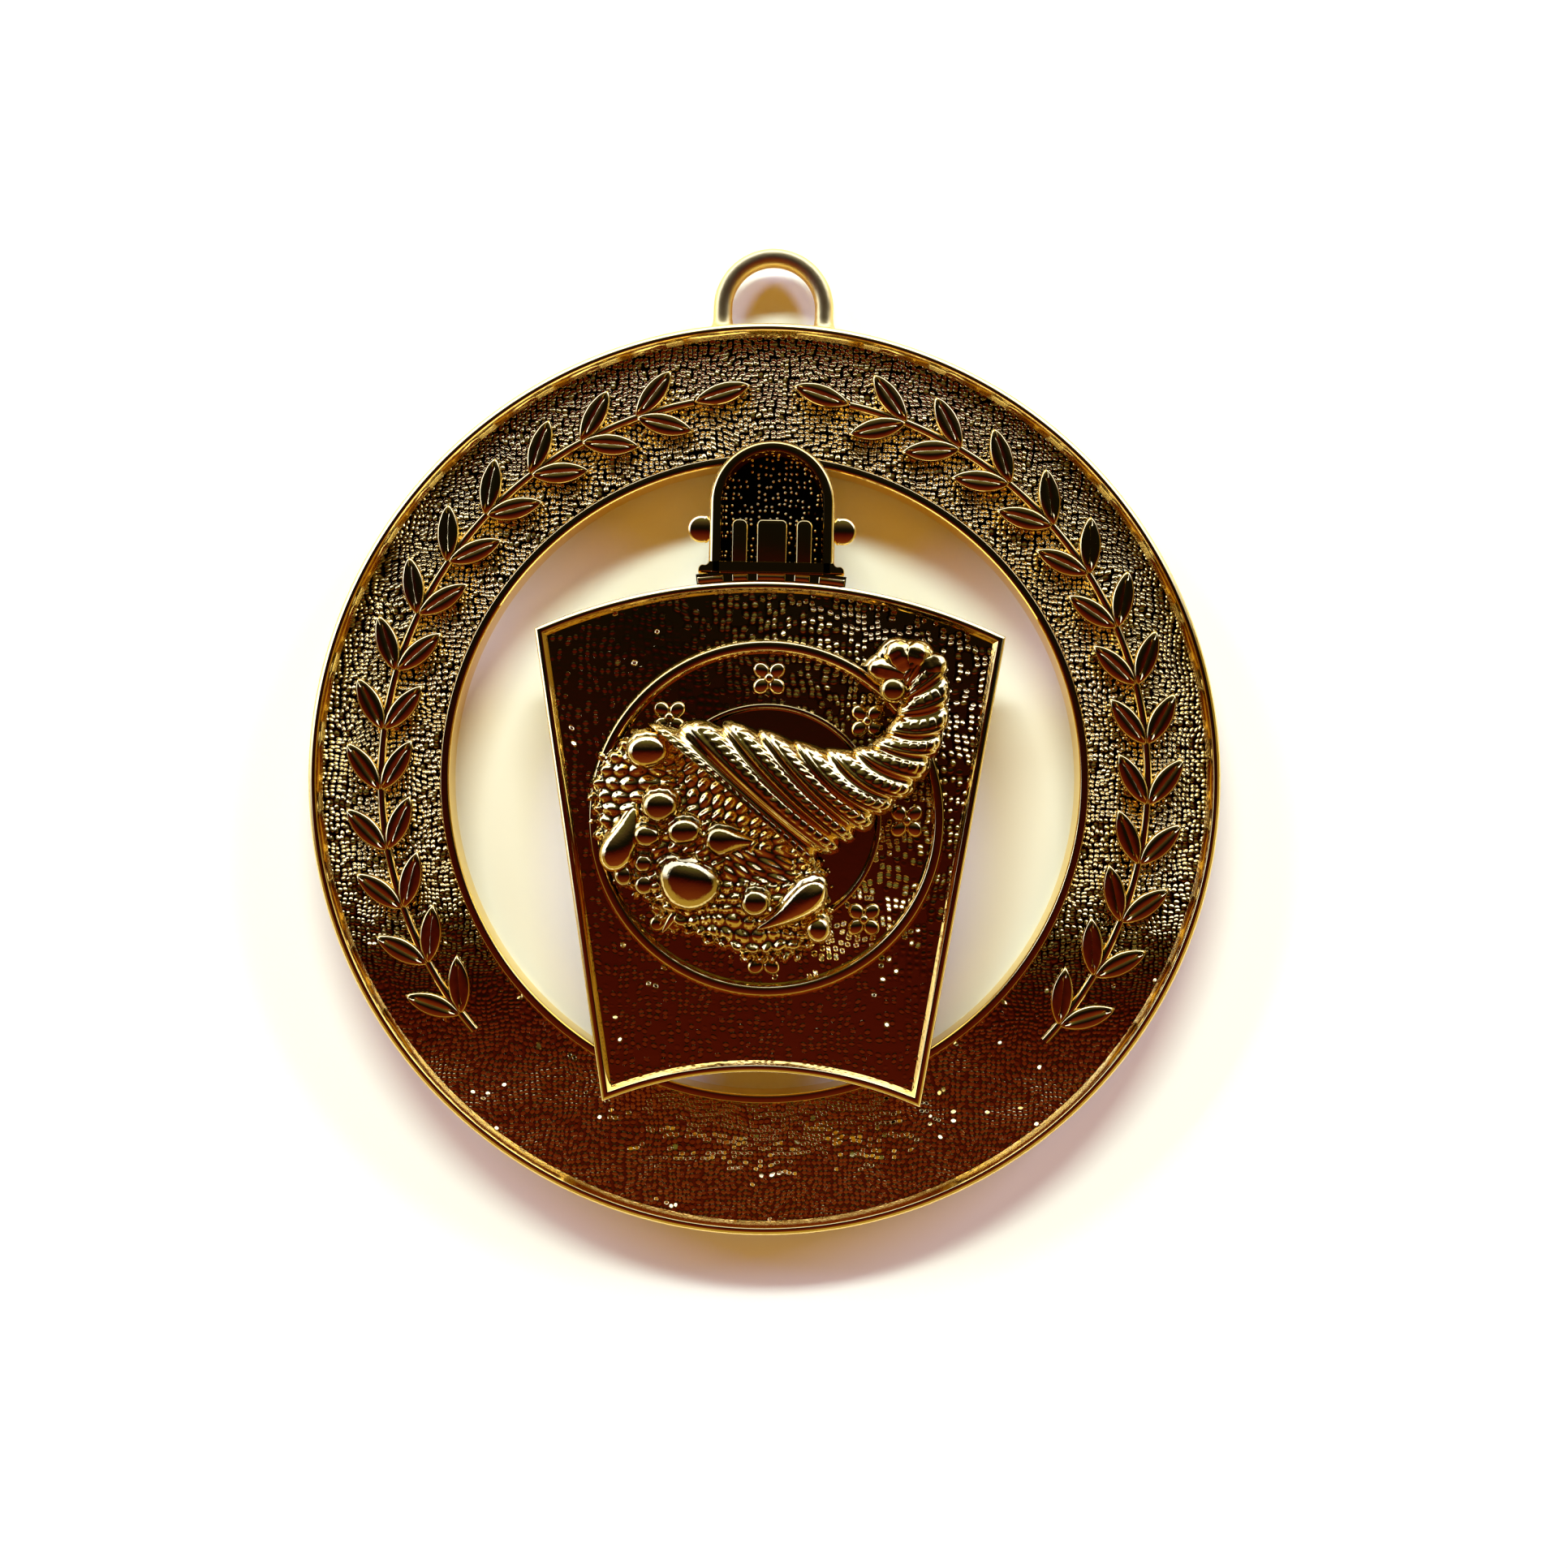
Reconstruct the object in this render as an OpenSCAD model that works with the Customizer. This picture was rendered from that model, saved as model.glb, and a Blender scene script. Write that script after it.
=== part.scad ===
// A gilt collar jewel: a textured ring with a wire loop, a keystone plaque with
// a lewis on top riveted in front of it, and a horn of plenty applied to the plaque.
// It lies on its back: +Z points out of its face and +Y towards the loop.
// The modules work from the ring's centre, and the origin is under the middle of the whole jewel.

/* [Ring] */
// Outer diameter of the ring
ring_d = 80; // [76:0.5:90]
// Width of the ring's band, from its outer edge to its inner edge
band_w = 12.4; // [11:0.1:13]
// Thickness of the band under its textured field
band_t = 2.2; // [1.6:0.1:3]
// Height of the rims above the field
rim_h = 0.8; // [0.6:0.05:1.2]
// Bevel along the outer rim's outer edge
outer_bevel = 0.4; // [0.3:0.05:0.8]
// Width of the flat top of the outer rim
outer_rim_w = 0.25; // [0.2:0.05:0.5]
// Bevel along the inner rim's inner edge
inner_bevel = 0.2; // [0.15:0.05:0.5]
// Width of the flat top of the inner rim
inner_rim_w = 0.55; // [0.4:0.05:0.8]
// Run of each rim's slope down to the field
rim_slope = 0.35; // [0.2:0.05:0.5]
// Chamfer round the back edges
back_chamfer = 0.3; // [0.1:0.05:0.5]

/* [Loop] */
// Diameter of the loop's wire
wire_d = 1.66; // [1.2:0.02:2]
// Outside width of the loop
loop_w = 10.6; // [8:0.1:12]
// Height of the loop above the ring's edge
loop_h = 6.9; // [6:0.1:9]
// Depth that the loop's feet are let into the ring
foot_depth = 0.7; // [0.5:0.05:1.2]

/* [Branches] */
// Pairs of leaves on each branch
leaf_pairs = 13; // [9:1:14]
// Length of a leaf
leaf_l = 5.3; // [4:0.1:5.4]
// Width of a leaf
leaf_w = 2; // [1.4:0.1:2.4]
// Height of a leaf above the field
leaf_h = 0.65; // [0.4:0.05:0.9]
// Angle between a leaf and its stem
leaf_angle = 33; // [20:1:38]
// Angle from the top of the ring to the foot of each branch
branch_reach = 132; // [120:1:138]
// Width of the stem
stem_w = 0.8; // [0.5:0.05:1.2]
// Height of the stem above the field
stem_h = 0.4; // [0.2:0.05:0.6]
// Diameter of the round boss between the branch tips
boss_d = 2.4; // [1.6:0.1:3]

/* [Keystone] */
// Width across the top corners
top_w = 40.6; // [38:0.2:42]
// Width across the bottom corners
bottom_w = 27.4; // [24:0.2:30]
// Rise of the arched top edge at its middle
top_rise = 4.45; // [3:0.05:6]
// Rise of the arched bottom edge at its middle
bottom_rise = 2.8; // [1.5:0.05:4]
// Thickness of the plaque under its textured field
plaque_t = 1.85; // [1.5:0.05:2.5]
// Height of the border and the circles above the field
border_h = 0.6; // [0.4:0.05:0.9]
// Width of the border
border_w = 1.1; // [0.8:0.05:1.5]
// How far the lewis laps over the ring's inner edge at the top
top_lap = 1.6; // [1:0.1:2]
// How far the bottom corners lap over the ring's inner edge
corner_lap = 3.6; // [3:0.1:4.5]

/* [Circles] */
// Outer diameter of the large circle
circle_d = 31; // [28:0.2:32]
// Width of the large circle's rim
circle_rim_w = 1.3; // [0.8:0.05:1.8]
// Outer diameter of the small circle
inner_circle_d = 20; // [18:0.2:21]
// Width of the small circle's rim
inner_circle_rim_w = 0.65; // [0.4:0.05:1]
// Height of the circles' centre above the middle of the plaque
circle_raise = 0.7; // [0:0.1:1.5]
// Height of the rosettes above the field
rosette_h = 0.4; // [0.2:0.05:0.5]
// Height of the stud above its petals
stud_h = 0.15; // [0.05:0.05:0.3]
// Width of a rosette across its petals
rosette_w = 3.4; // [2.4:0.1:3.8]

/* [Lewis] */
// Height from the arched edge of the plaque to the top of the shackle
lewis_h = 12.15; // [11:0.05:14]
// Outside width of the shackle
shackle_w = 10.8; // [9.6:0.1:12]
// Width of the shackle's band
shackle_band = 1.23; // [0.8:0.01:1.6]
// Width of the stepped foot
foot_w = 12.8; // [12.2:0.1:15]
// Height of the foot above the plaque's edge
foot_h = 1.6; // [1.2:0.1:2.2]
// Run of the step at each end of the foot
foot_step = 0.45; // [0.2:0.05:0.6]
// Height of the legs above the plaque's edge
leg_h = 5.35; // [4.5:0.05:6]
// Width of the middle leg
middle_leg_w = 2.7; // [2:0.1:3.2]
// Width of each side leg
side_leg_w = 1.45; // [1:0.05:1.6]
// Gap between the legs
leg_gap = 0.7; // [0.4:0.05:0.8]
// Diameter of the pin's domed ends
pin_end_d = 2.4; // [1.8:0.1:2.4]
// Diameter of the pin inside its collars
rod_d = 1.8; // [1.2:0.1:2]
// Width over the pin's domed ends
pin_w = 14.6; // [14:0.1:17]
// Height of the pin above the plaque's edge
pin_y = 4.45; // [4:0.05:5.5]
// Width of the collar under each domed end
collar_w = 0.4; // [0.2:0.05:0.5]
// Gap between the shackle and the collar
collar_gap = 0.1; // [0.05:0.01:0.15]

/* [Horn of plenty] */
// Overall width of the horn of plenty
emblem_w = 31; // [28:0.2:32]
// Height of the horn's fullest part above its back
horn_h = 3.4; // [2.6:0.1:4]
// Thickness of the backing at its edge
backing_t = 0.8; // [0.6:0.05:1.2]
// Height of the mound that the fruit is heaped on
mound_h = 1.9; // [1.4:0.05:2.2]

/* [Fixings] */
// Diameter of the rivets through the ring
rivet_d = 1; // [0.8:0.05:1.1]
// Distance of each rivet in from the plaque's side
rivet_in = 1.2; // [1:0.05:1.5]
// Distance of each rivet above the plaque's bottom corner
rivet_up = 1.5; // [1.3:0.05:1.8]
// Depth of the rivets in the plaque
rivet_bite = 1.2; // [0.8:0.05:1.3]
// Diameter of the posts behind the horn of plenty
post_d = 1.2; // [0.8:0.05:1.6]
// Depth of the posts in the horn of plenty
post_bite = 0.7; // [0.4:0.05:0.8]
// Clearance between one piece and the next
gap = 0.05; // [0.03:0.01:0.1]

/* [Hidden] */

// A cut runs past the face that it opens by this much, and a raised part starts this far under its field
over = 0.1;
gilt = "#d4a93c";

// Ring
ring_r = ring_d / 2;
eye_r = ring_r - band_w;
rim_z = band_t + rim_h;
outer_rim_r = ring_r - outer_bevel;
inner_rim_r = eye_r + inner_bevel;

// Loop
loop_r = (loop_w - wire_d) / 2;
loop_y = ring_r + loop_h - loop_w / 2;
loop_z = rim_z / 2;
loop_foot_y = sqrt(ring_r * ring_r - loop_r * loop_r) - foot_depth;

// The whole jewel lies with the middle of its length on the origin
middle_y = loop_h / 2;

// Branches: the stem runs round the middle of the field, bare for a few degrees at its foot
stem_r = (outer_rim_r + inner_rim_r) / 2;
bare_foot = 3;
tip_gap = boss_d / 2 + rim_slope;
tip_angle = 2 * asin((tip_gap + leaf_l) / (2 * stem_r));
leaf_pitch = (branch_reach - bare_foot - tip_angle) / leaf_pairs;

// Keystone
plaque_z = rim_z + gap;
field_z = plaque_z + plaque_t;
border_z = field_z + border_h;
corner_x = bottom_w / 2;
corner_y = -sqrt(pow(eye_r + corner_lap, 2) - corner_x * corner_x);
bottom_y = corner_y + bottom_rise;
lewis_top_y = eye_r + top_lap;
arch_y = lewis_top_y - lewis_h;
shoulder_y = arch_y - top_rise;
side_slope = (top_w / 2 - corner_x) / (shoulder_y - corner_y);
top_arc_r = arc_radius(top_w, top_rise);
bottom_arc_r = arc_radius(bottom_w, bottom_rise);

// Circles
circle_y = (arch_y + bottom_y) / 2 + circle_raise;
circle_r = circle_d / 2;
inner_circle_r = inner_circle_d / 2;
rosette_r = (circle_r - circle_rim_w + inner_circle_r) / 2;

// Lewis: its field lies a little under the plaque's, its legs a little under its shackle,
// and all of it runs down over the plaque's border by the seat
lewis_seat = 0.75 * border_w;
lewis_z = field_z - border_h / 2;
leg_z = border_z - border_h / 3;
shackle_r = shackle_w / 2;
shackle_y = lewis_top_y - shackle_r;
pin_z = (plaque_z + border_z) / 2;
pin_r = pin_end_d / 2;

// Horn of plenty: lengths in its tables are shares of half its width, from the circles' centre
emblem_r = emblem_w / 2;
emblem_z = border_z + gap;
post_low_z = plaque_z;
post_high_z = emblem_z + post_bite;
post_places = [[-0.40, -0.36], [0.50, 0.22]];

// Radius of the arc over a chord with a given rise
function arc_radius(chord, rise) = (chord * chord / 4 + rise * rise) / (2 * rise);

// One row for each rib of the horn, from the mouth to the curled tip:
// start x, y; middle x, y; end x, y; height as a share of horn_h
RIBS = [
    [-0.66, 0.52, -0.19, 0.14, 0.28, -0.26, 0.92],
    [-0.40, 0.54, -0.03, 0.15, 0.40, -0.18, 1.00],
    [-0.20, 0.54, 0.11, 0.18, 0.48, -0.12, 1.00],
    [0.01, 0.49, 0.27, 0.18, 0.58, -0.05, 0.97],
    [0.20, 0.43, 0.42, 0.17, 0.69, 0.06, 0.92],
    [0.37, 0.40, 0.56, 0.22, 0.80, 0.15, 0.86],
    [0.50, 0.41, 0.68, 0.31, 0.89, 0.27, 0.80],
    [0.59, 0.45, 0.78, 0.40, 0.96, 0.42, 0.74],
    [0.66, 0.53, 0.84, 0.51, 1.00, 0.57, 0.70],
    [0.71, 0.62, 0.87, 0.66, 1.00, 0.74, 0.66],
    [0.73, 0.68, 0.86, 0.79, 0.97, 0.90, 0.62],
    [0.72, 0.72, 0.80, 0.89, 0.85, 1.00, 0.58],
    [0.70, 0.73, 0.68, 0.90, 0.66, 1.01, 0.52],
    [0.69, 0.72, 0.60, 0.82, 0.51, 0.86, 0.44]
];
// The horn's mouth stands this many ribs before the first one
mouth_lip = 0.4;
// Depth of the valleys between the ribs, as a share of the horn there
rib_depth = 0.16;
// Ball at the curled tip: x, y, radius and height
curl_ball = [0.68, 0.72, 0.080, 0.10];

// Facets: steps along each rib, sides over the horn, and sides round the fruit and the balls
rib_steps = 5;
rib_sides = 12;
fruit_sides = 14;
ball_sides = 8;
ball_turn = 29;
ball_lift = 0.009;

// Fruit: x, y and radius of the body, x, y and radius of the tip, height of the middle
FRUIT = [
    [-0.66, 0.35, 0.105, -0.56, 0.36, 0.095, 0.085],
    [-0.60, 0.06, 0.100, -0.54, 0.06, 0.090, 0.110],
    [-0.84, -0.18, 0.095, -0.74, 0.02, 0.035, 0.065],
    [-0.68, -0.09, 0.060, -0.61, -0.09, 0.060, 0.105],
    [-0.45, -0.08, 0.078, -0.42, -0.08, 0.070, 0.125],
    [-0.24, -0.12, 0.090, -0.07, -0.13, 0.030, 0.120],
    [-0.68, -0.25, 0.060, -0.63, -0.25, 0.055, 0.085],
    [-0.76, -0.34, 0.062, -0.74, -0.34, 0.055, 0.050],
    [-0.66, -0.38, 0.058, -0.65, -0.37, 0.050, 0.055],
    [-0.44, -0.35, 0.145, -0.37, -0.35, 0.140, 0.075],
    [-0.47, -0.44, 0.070, -0.54, -0.62, 0.022, 0.060],
    [-0.05, -0.45, 0.075, -0.01, -0.45, 0.070, 0.085],
    [0.24, -0.38, 0.105, 0.19, -0.42, 0.090, 0.075],
    [0.17, -0.45, 0.060, 0.09, -0.55, 0.032, 0.070],
    [0.09, -0.55, 0.032, -0.01, -0.59, 0.018, 0.070],
    [0.32, -0.58, 0.072, 0.31, -0.55, 0.060, 0.045]
];

// Rows of small round things, grapes or corn: first x, y; last x, y; how many; radius; height
ROWS = [
    [-0.95, 0.27, -0.78, 0.42, 4, 0.045, 0.050],
    [-0.96, 0.19, -0.60, 0.22, 6, 0.045, 0.065],
    [-0.95, 0.11, -0.72, 0.13, 4, 0.045, 0.070],
    [-0.93, 0.03, -0.78, 0.06, 3, 0.045, 0.060],
    [-0.46, 0.24, -0.36, 0.12, 3, 0.045, 0.130],
    [-0.36, -0.54, 0.00, -0.34, 5, 0.036, 0.085],
    [-0.34, -0.61, 0.10, -0.36, 6, 0.036, 0.080],
    [-0.30, -0.66, 0.20, -0.64, 7, 0.036, 0.070],
    [-0.20, -0.59, 0.06, -0.54, 4, 0.036, 0.085],
    [-0.20, -0.72, 0.26, -0.70, 7, 0.036, 0.055],
    [-0.08, -0.78, 0.16, -0.77, 4, 0.036, 0.045],
    [-0.62, -0.46, -0.52, -0.54, 3, 0.030, 0.045]
];

// Outline of the backing under the fruit, clockwise from the mouth's upper end
BACKING = [
    [-0.615, 0.505], [-0.775, 0.455], [-0.925, 0.325], [-0.985, 0.185], [-0.965, -0.025],
    [-0.925, -0.205], [-0.805, -0.375], [-0.625, -0.505], [-0.505, -0.625], [-0.365, -0.685],
    [-0.105, -0.785], [0.175, -0.775], [0.365, -0.645], [0.355, -0.395], [0.325, -0.235],
    [-0.105, 0.205], [-0.405, 0.455]
];

// Middle of the mound under the fruit, and the share of its foot that its top keeps
MOUND = [-0.30, -0.20];
mound_top = 0.6;

// Lens-shaped solid from the origin along +X, between two equal arcs
module lens(length, width, height) {
    arc_r = arc_radius(length, width / 2);
    translate([length / 2, 0, 0])
        intersection() {
            translate([0, arc_r - width / 2, 0])
                cylinder(r = arc_r, h = height, $fn = 96);
            translate([0, width / 2 - arc_r, 0])
                cylinder(r = arc_r, h = height, $fn = 96);
        }
}

// The band: flat back, and a bevelled rim at each edge of the field
module band() {
    rotate_extrude($fn = 180)
        polygon([
            [eye_r + back_chamfer, 0],
            [ring_r - back_chamfer, 0],
            [ring_r, back_chamfer],
            [ring_r, rim_z - outer_bevel],
            [outer_rim_r, rim_z],
            [outer_rim_r - outer_rim_w, rim_z],
            [outer_rim_r - outer_rim_w - rim_slope, band_t],
            [inner_rim_r + inner_rim_w + rim_slope, band_t],
            [inner_rim_r + inner_rim_w, rim_z],
            [inner_rim_r, rim_z],
            [eye_r, rim_z - inner_bevel],
            [eye_r, back_chamfer]
        ]);
}

// The wire loop: half a turn of round wire on two straight feet
module wire_loop() {
    translate([0, loop_y, loop_z])
        rotate_extrude(angle = 180, $fn = 96)
            translate([loop_r, 0])
                circle(d = wire_d, $fn = 48);
    for (side = [-1, 1])
        translate([side * loop_r, loop_foot_y, loop_z])
            rotate([-90, 0, 0])
                cylinder(d = wire_d, h = loop_y - loop_foot_y, $fn = 48);
}

// One branch, up the right side of the ring: a stem with leaves in pairs and a leaf at its tip
module branch() {
    rotate([0, 0, 90 - branch_reach])
        rotate_extrude(angle = branch_reach - tip_angle, $fn = 180)
            translate([stem_r - stem_w / 2, band_t - over])
                square([stem_w, stem_h + over]);
    for (pair = [0 : leaf_pairs - 1])
        for (side = [-1, 1])
            rotate([0, 0, pair * leaf_pitch + bare_foot - branch_reach])
                translate([0, stem_r, band_t - over])
                    rotate([0, 0, 180 + side * leaf_angle])
                        lens(leaf_l, leaf_w, leaf_h + over);
    rotate([0, 0, -tip_angle])
        translate([0, stem_r, band_t - over])
            rotate([0, 0, 180 - tip_angle / 2])
                lens(leaf_l, leaf_w, leaf_h + over);
}

module ring() {
    color(gilt)
        translate([0, -middle_y, 0])
            difference() {
                union() {
                    band();
                    wire_loop();
                    branch();
                    mirror([1, 0, 0])
                        branch();
                    translate([0, stem_r, band_t - over])
                        cylinder(d = boss_d, h = leaf_h + over, $fn = 48);
                }
                for (side = [-1, 1])
                    rivet_bore(side);
            }
}

// Where a rivet stands, from the ring's centre
function rivet_place(side) = [side * (corner_x - rivet_in), corner_y + rivet_up];

module rivet_bore(side) {
    translate([rivet_place(side).x, rivet_place(side).y, -over])
        cylinder(d = rivet_d + 2 * gap, h = plaque_z + rivet_bite + gap + over, $fn = 48);
}

// Half the keystone's width at a height
function side_x(y) = corner_x + side_slope * (y - corner_y);

// The keystone's outline, drawn in by inset all round
module keystone(inset, base_z, height) {
    side_in = inset * sqrt(1 + side_slope * side_slope);
    low_y = corner_y - over;
    high_y = arch_y + over;
    low_x = side_x(low_y) - side_in;
    high_x = side_x(high_y) - side_in;
    difference() {
        intersection() {
            translate([0, 0, base_z])
                linear_extrude(height)
                    polygon([[-low_x, low_y], [low_x, low_y], [high_x, high_y], [-high_x, high_y]]);
            translate([0, arch_y - top_arc_r, base_z])
                cylinder(r = top_arc_r - inset, h = height, $fn = 240);
        }
        translate([0, bottom_y - bottom_arc_r, base_z - over])
            cylinder(r = bottom_arc_r + inset, h = height + 2 * over, $fn = 240);
    }
}

module rim(outer_r, width) {
    translate([0, 0, field_z - over])
        difference() {
            cylinder(r = outer_r, h = border_h + over, $fn = 120);
            translate([0, 0, -over])
                cylinder(r = outer_r - width, h = border_h + 3 * over, $fn = 120);
        }
}

// Four round petals about a stud
module rosette() {
    petal_r = rosette_w / 5;
    for (turn = [45 : 90 : 315])
        rotate([0, 0, turn])
            translate([rosette_w / 2 - petal_r, 0, 0])
                cylinder(r = petal_r, h = rosette_h + over, $fn = 32);
    cylinder(r = petal_r, h = rosette_h + over + stud_h, $fn = 32);
}

module circles() {
    translate([0, circle_y, 0]) {
        rim(circle_r, circle_rim_w);
        rim(inner_circle_r, inner_circle_rim_w);
        for (turn = [0 : 45 : 315])
            rotate([0, 0, turn])
                translate([rosette_r, 0, field_z - over])
                    rosette();
    }
}

// The shackle's outline, drawn in by inset: an arch on straight sides
module shackle(inset, base_z, height) {
    translate([0, shackle_y, base_z])
        cylinder(r = shackle_r - inset, h = height, $fn = 96);
    translate([inset - shackle_r, arch_y - lewis_seat, base_z])
        cube([shackle_w - 2 * inset, shackle_y - arch_y + lewis_seat, height]);
}

// A leg with a half-round top, centred on x
module leg(x, width) {
    base_y = arch_y - lewis_seat / 2;
    head_y = arch_y + leg_h - width / 2;
    translate([x - width / 2, base_y, lewis_z - over])
        cube([width, head_y - base_y, leg_z - lewis_z + over]);
    translate([x, head_y, lewis_z - over])
        cylinder(d = width, h = leg_z - lewis_z + over, $fn = 48);
}

// One step of the foot, let into the plaque's arched edge
module foot(width, height, top_z) {
    translate([-width / 2, arch_y - lewis_seat, plaque_z])
        cube([width, height + lewis_seat, top_z - plaque_z]);
}

// One end of the pin, turned about its own axis: rod, collar and dome
module pin_end(side) {
    reach = pin_w / 2 - shackle_r - pin_r;
    translate([side * shackle_r, arch_y + pin_y, pin_z])
        rotate([0, side * 90, 0]) {
            translate([0, 0, -shackle_band / 2])
                cylinder(d = rod_d, h = reach + shackle_band / 2, $fn = 48);
            translate([0, 0, collar_gap])
                cylinder(r = pin_r, h = collar_w, $fn = 48);
            translate([0, 0, reach])
                sphere(r = pin_r, $fn = 48);
        }
}

module lewis() {
    difference() {
        shackle(0, plaque_z, border_z - plaque_z);
        shackle(shackle_band, lewis_z, border_z);
    }
    leg(0, middle_leg_w);
    for (side = [-1, 1]) {
        leg(side * (middle_leg_w / 2 + leg_gap + side_leg_w / 2), side_leg_w);
        pin_end(side);
    }
    foot(foot_w, foot_h / 2, leg_z);
    foot(foot_w - 2 * foot_step, foot_h, leg_z - rosette_h / 3);
}

module keystone_plaque() {
    color(gilt)
        translate([0, -middle_y, 0])
            difference() {
                union() {
                    difference() {
                        keystone(0, plaque_z, plaque_t + border_h);
                        keystone(border_w, field_z, border_h + over);
                    }
                    circles();
                    lewis();
                }
                for (side = [-1, 1])
                    rivet_bore(side);
                for (place = post_places)
                    post_bore(place);
            }
}

// Where a post stands, from the ring's centre
function post_place(place) = [place.x * emblem_r, circle_y + place.y * emblem_r];

module post_bore(place) {
    translate([post_place(place).x, post_place(place).y, post_low_z - over])
        cylinder(d = post_d + 2 * gap, h = post_high_z - post_low_z + gap + over, $fn = 32);
}

// Height of a rib's ridge over the valley beside it, 0 to 1, at a place along the horn
function ridge(t) = sqrt(abs(cos(180 * t)));

// A value of the rib table at a place along the horn, on a smooth curve through the rows
function along(column, t) =
    let (row = max(0, min(len(RIBS) - 2, floor(t))), f = t - row)
    let (before = RIBS[max(0, row - 1)][column], here = RIBS[row][column])
    let (next = RIBS[row + 1][column], after = RIBS[min(len(RIBS) - 1, row + 2)][column])
    here + f * ((next - before) / 2 + f * (before - 2.5 * here + 2 * next - after / 2
        + f * (1.5 * here - before / 2 - 1.5 * next + after / 2)));

// A point of the horn's surface: t runs along it and u, from 0 to 1, over it
function horn_point(t, u) =
    let (start = [along(0, t), along(1, t)], finish = [along(4, t), along(5, t)])
    let (middle = [along(2, t), along(3, t)], bend = 2 * middle - (start + finish) / 2)
    let (v = (1 - cos(180 * u)) / 2)
    let (flat = (1 - v) * (1 - v) * start + 2 * v * (1 - v) * bend + v * v * finish)
    let (swell = 1 - rib_depth * (1 - ridge(t)))
    let (centre = (start + finish) / 2)
    let (place = centre + (flat - centre) * swell)
    [place.x * emblem_r, place.y * emblem_r, sin(180 * u) * along(6, t) * horn_h * swell];

module horn() {
    first = -mouth_lip;
    last = len(RIBS) - 1 + mouth_lip;
    rings = round((last - first) * rib_steps);
    count = rib_sides + 1;
    points = [for (i = [0 : rings], j = [0 : rib_sides])
        horn_point(first + (last - first) * i / rings, j / rib_sides)];
    skin = [for (i = [0 : rings - 1], j = [0 : rib_sides - 1])
        [i * count + j, (i + 1) * count + j, (i + 1) * count + j + 1, i * count + j + 1]];
    back = [for (i = [0 : rings - 1])
        [i * count, i * count + rib_sides, (i + 1) * count + rib_sides, (i + 1) * count]];
    ends = [[for (j = [0 : rib_sides]) j],
        [for (j = [rib_sides : -1 : 0]) rings * count + j]];
    polyhedron(points, concat(skin, back, ends));
}

// The backing's flat edge, and the mound on it that the fruit is heaped on
module backing() {
    translate([0, 0, -2 * over])
        linear_extrude(backing_t + 2 * over)
            polygon(BACKING * emblem_r);
    translate([MOUND.x, MOUND.y, 0] * emblem_r)
        linear_extrude(mound_h, scale = mound_top)
            translate(-MOUND * emblem_r)
                polygon(BACKING * emblem_r);
}

module fruit(row) {
    hull() {
        translate([row[0], row[1], row[6]] * emblem_r)
            sphere(r = row[2] * emblem_r, $fn = fruit_sides);
        translate([row[3], row[4], row[6]] * emblem_r)
            sphere(r = row[5] * emblem_r, $fn = fruit_sides - 4);
    }
}

// Each ball is turned and raised a little against the one before it, so that no two faces line up
module row_of_balls(row) {
    first = [row[0], row[1], row[6]];
    last = [row[2], row[3], row[6]];
    for (k = [0 : row[4] - 1])
        translate((first + (last - first) * k / (row[4] - 1) + [0, 0, ball_lift * (k % 2)]) * emblem_r)
            rotate([0, 0, k * ball_turn])
                sphere(r = row[5] * emblem_r, $fn = ball_sides);
}

module cornucopia() {
    color(gilt)
        translate([0, -middle_y, 0])
            difference() {
                translate([0, circle_y, emblem_z])
                    intersection() {
                        union() {
                            translate([0, 0, -over])
                                horn();
                            translate([curl_ball[0], curl_ball[1], curl_ball[3]] * emblem_r)
                                sphere(r = curl_ball[2] * emblem_r, $fn = 16);
                            backing();
                            for (row = FRUIT)
                                fruit(row);
                            for (row = ROWS)
                                row_of_balls(row);
                        }
                        translate([-emblem_w, -emblem_w, 0])
                            cube([2 * emblem_w, 2 * emblem_w, 2 * horn_h]);
                    }
                for (place = post_places)
                    post_bore(place);
            }
}

module rivet(side) {
    color(gilt)
        translate([rivet_place(side).x, rivet_place(side).y - middle_y, 0])
            cylinder(d = rivet_d, h = plaque_z + rivet_bite, $fn = 48);
}

module rivet_left() rivet(-1);

module rivet_right() rivet(1);

module post(place) {
    color(gilt)
        translate([post_place(place).x, post_place(place).y - middle_y, post_low_z])
            cylinder(d = post_d, h = post_high_z - post_low_z, $fn = 32);
}

module post_left() post(post_places[0]);

module post_right() post(post_places[1]);

ring();
keystone_plaque();
cornucopia();
rivet_left();
rivet_right();
post_left();
post_right();
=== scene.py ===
"""A gilt collar jewel: ring with a wire loop, keystone plaque with a lewis, and a horn of plenty.

The visible pieces are modelled in millimetres from the ring's centre, with Z from the ring's back, and
each is brought into the frame's metres when it is finished.
"""

import math

import bmesh
import bpy
from mathutils import Matrix, Vector, noise


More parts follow.
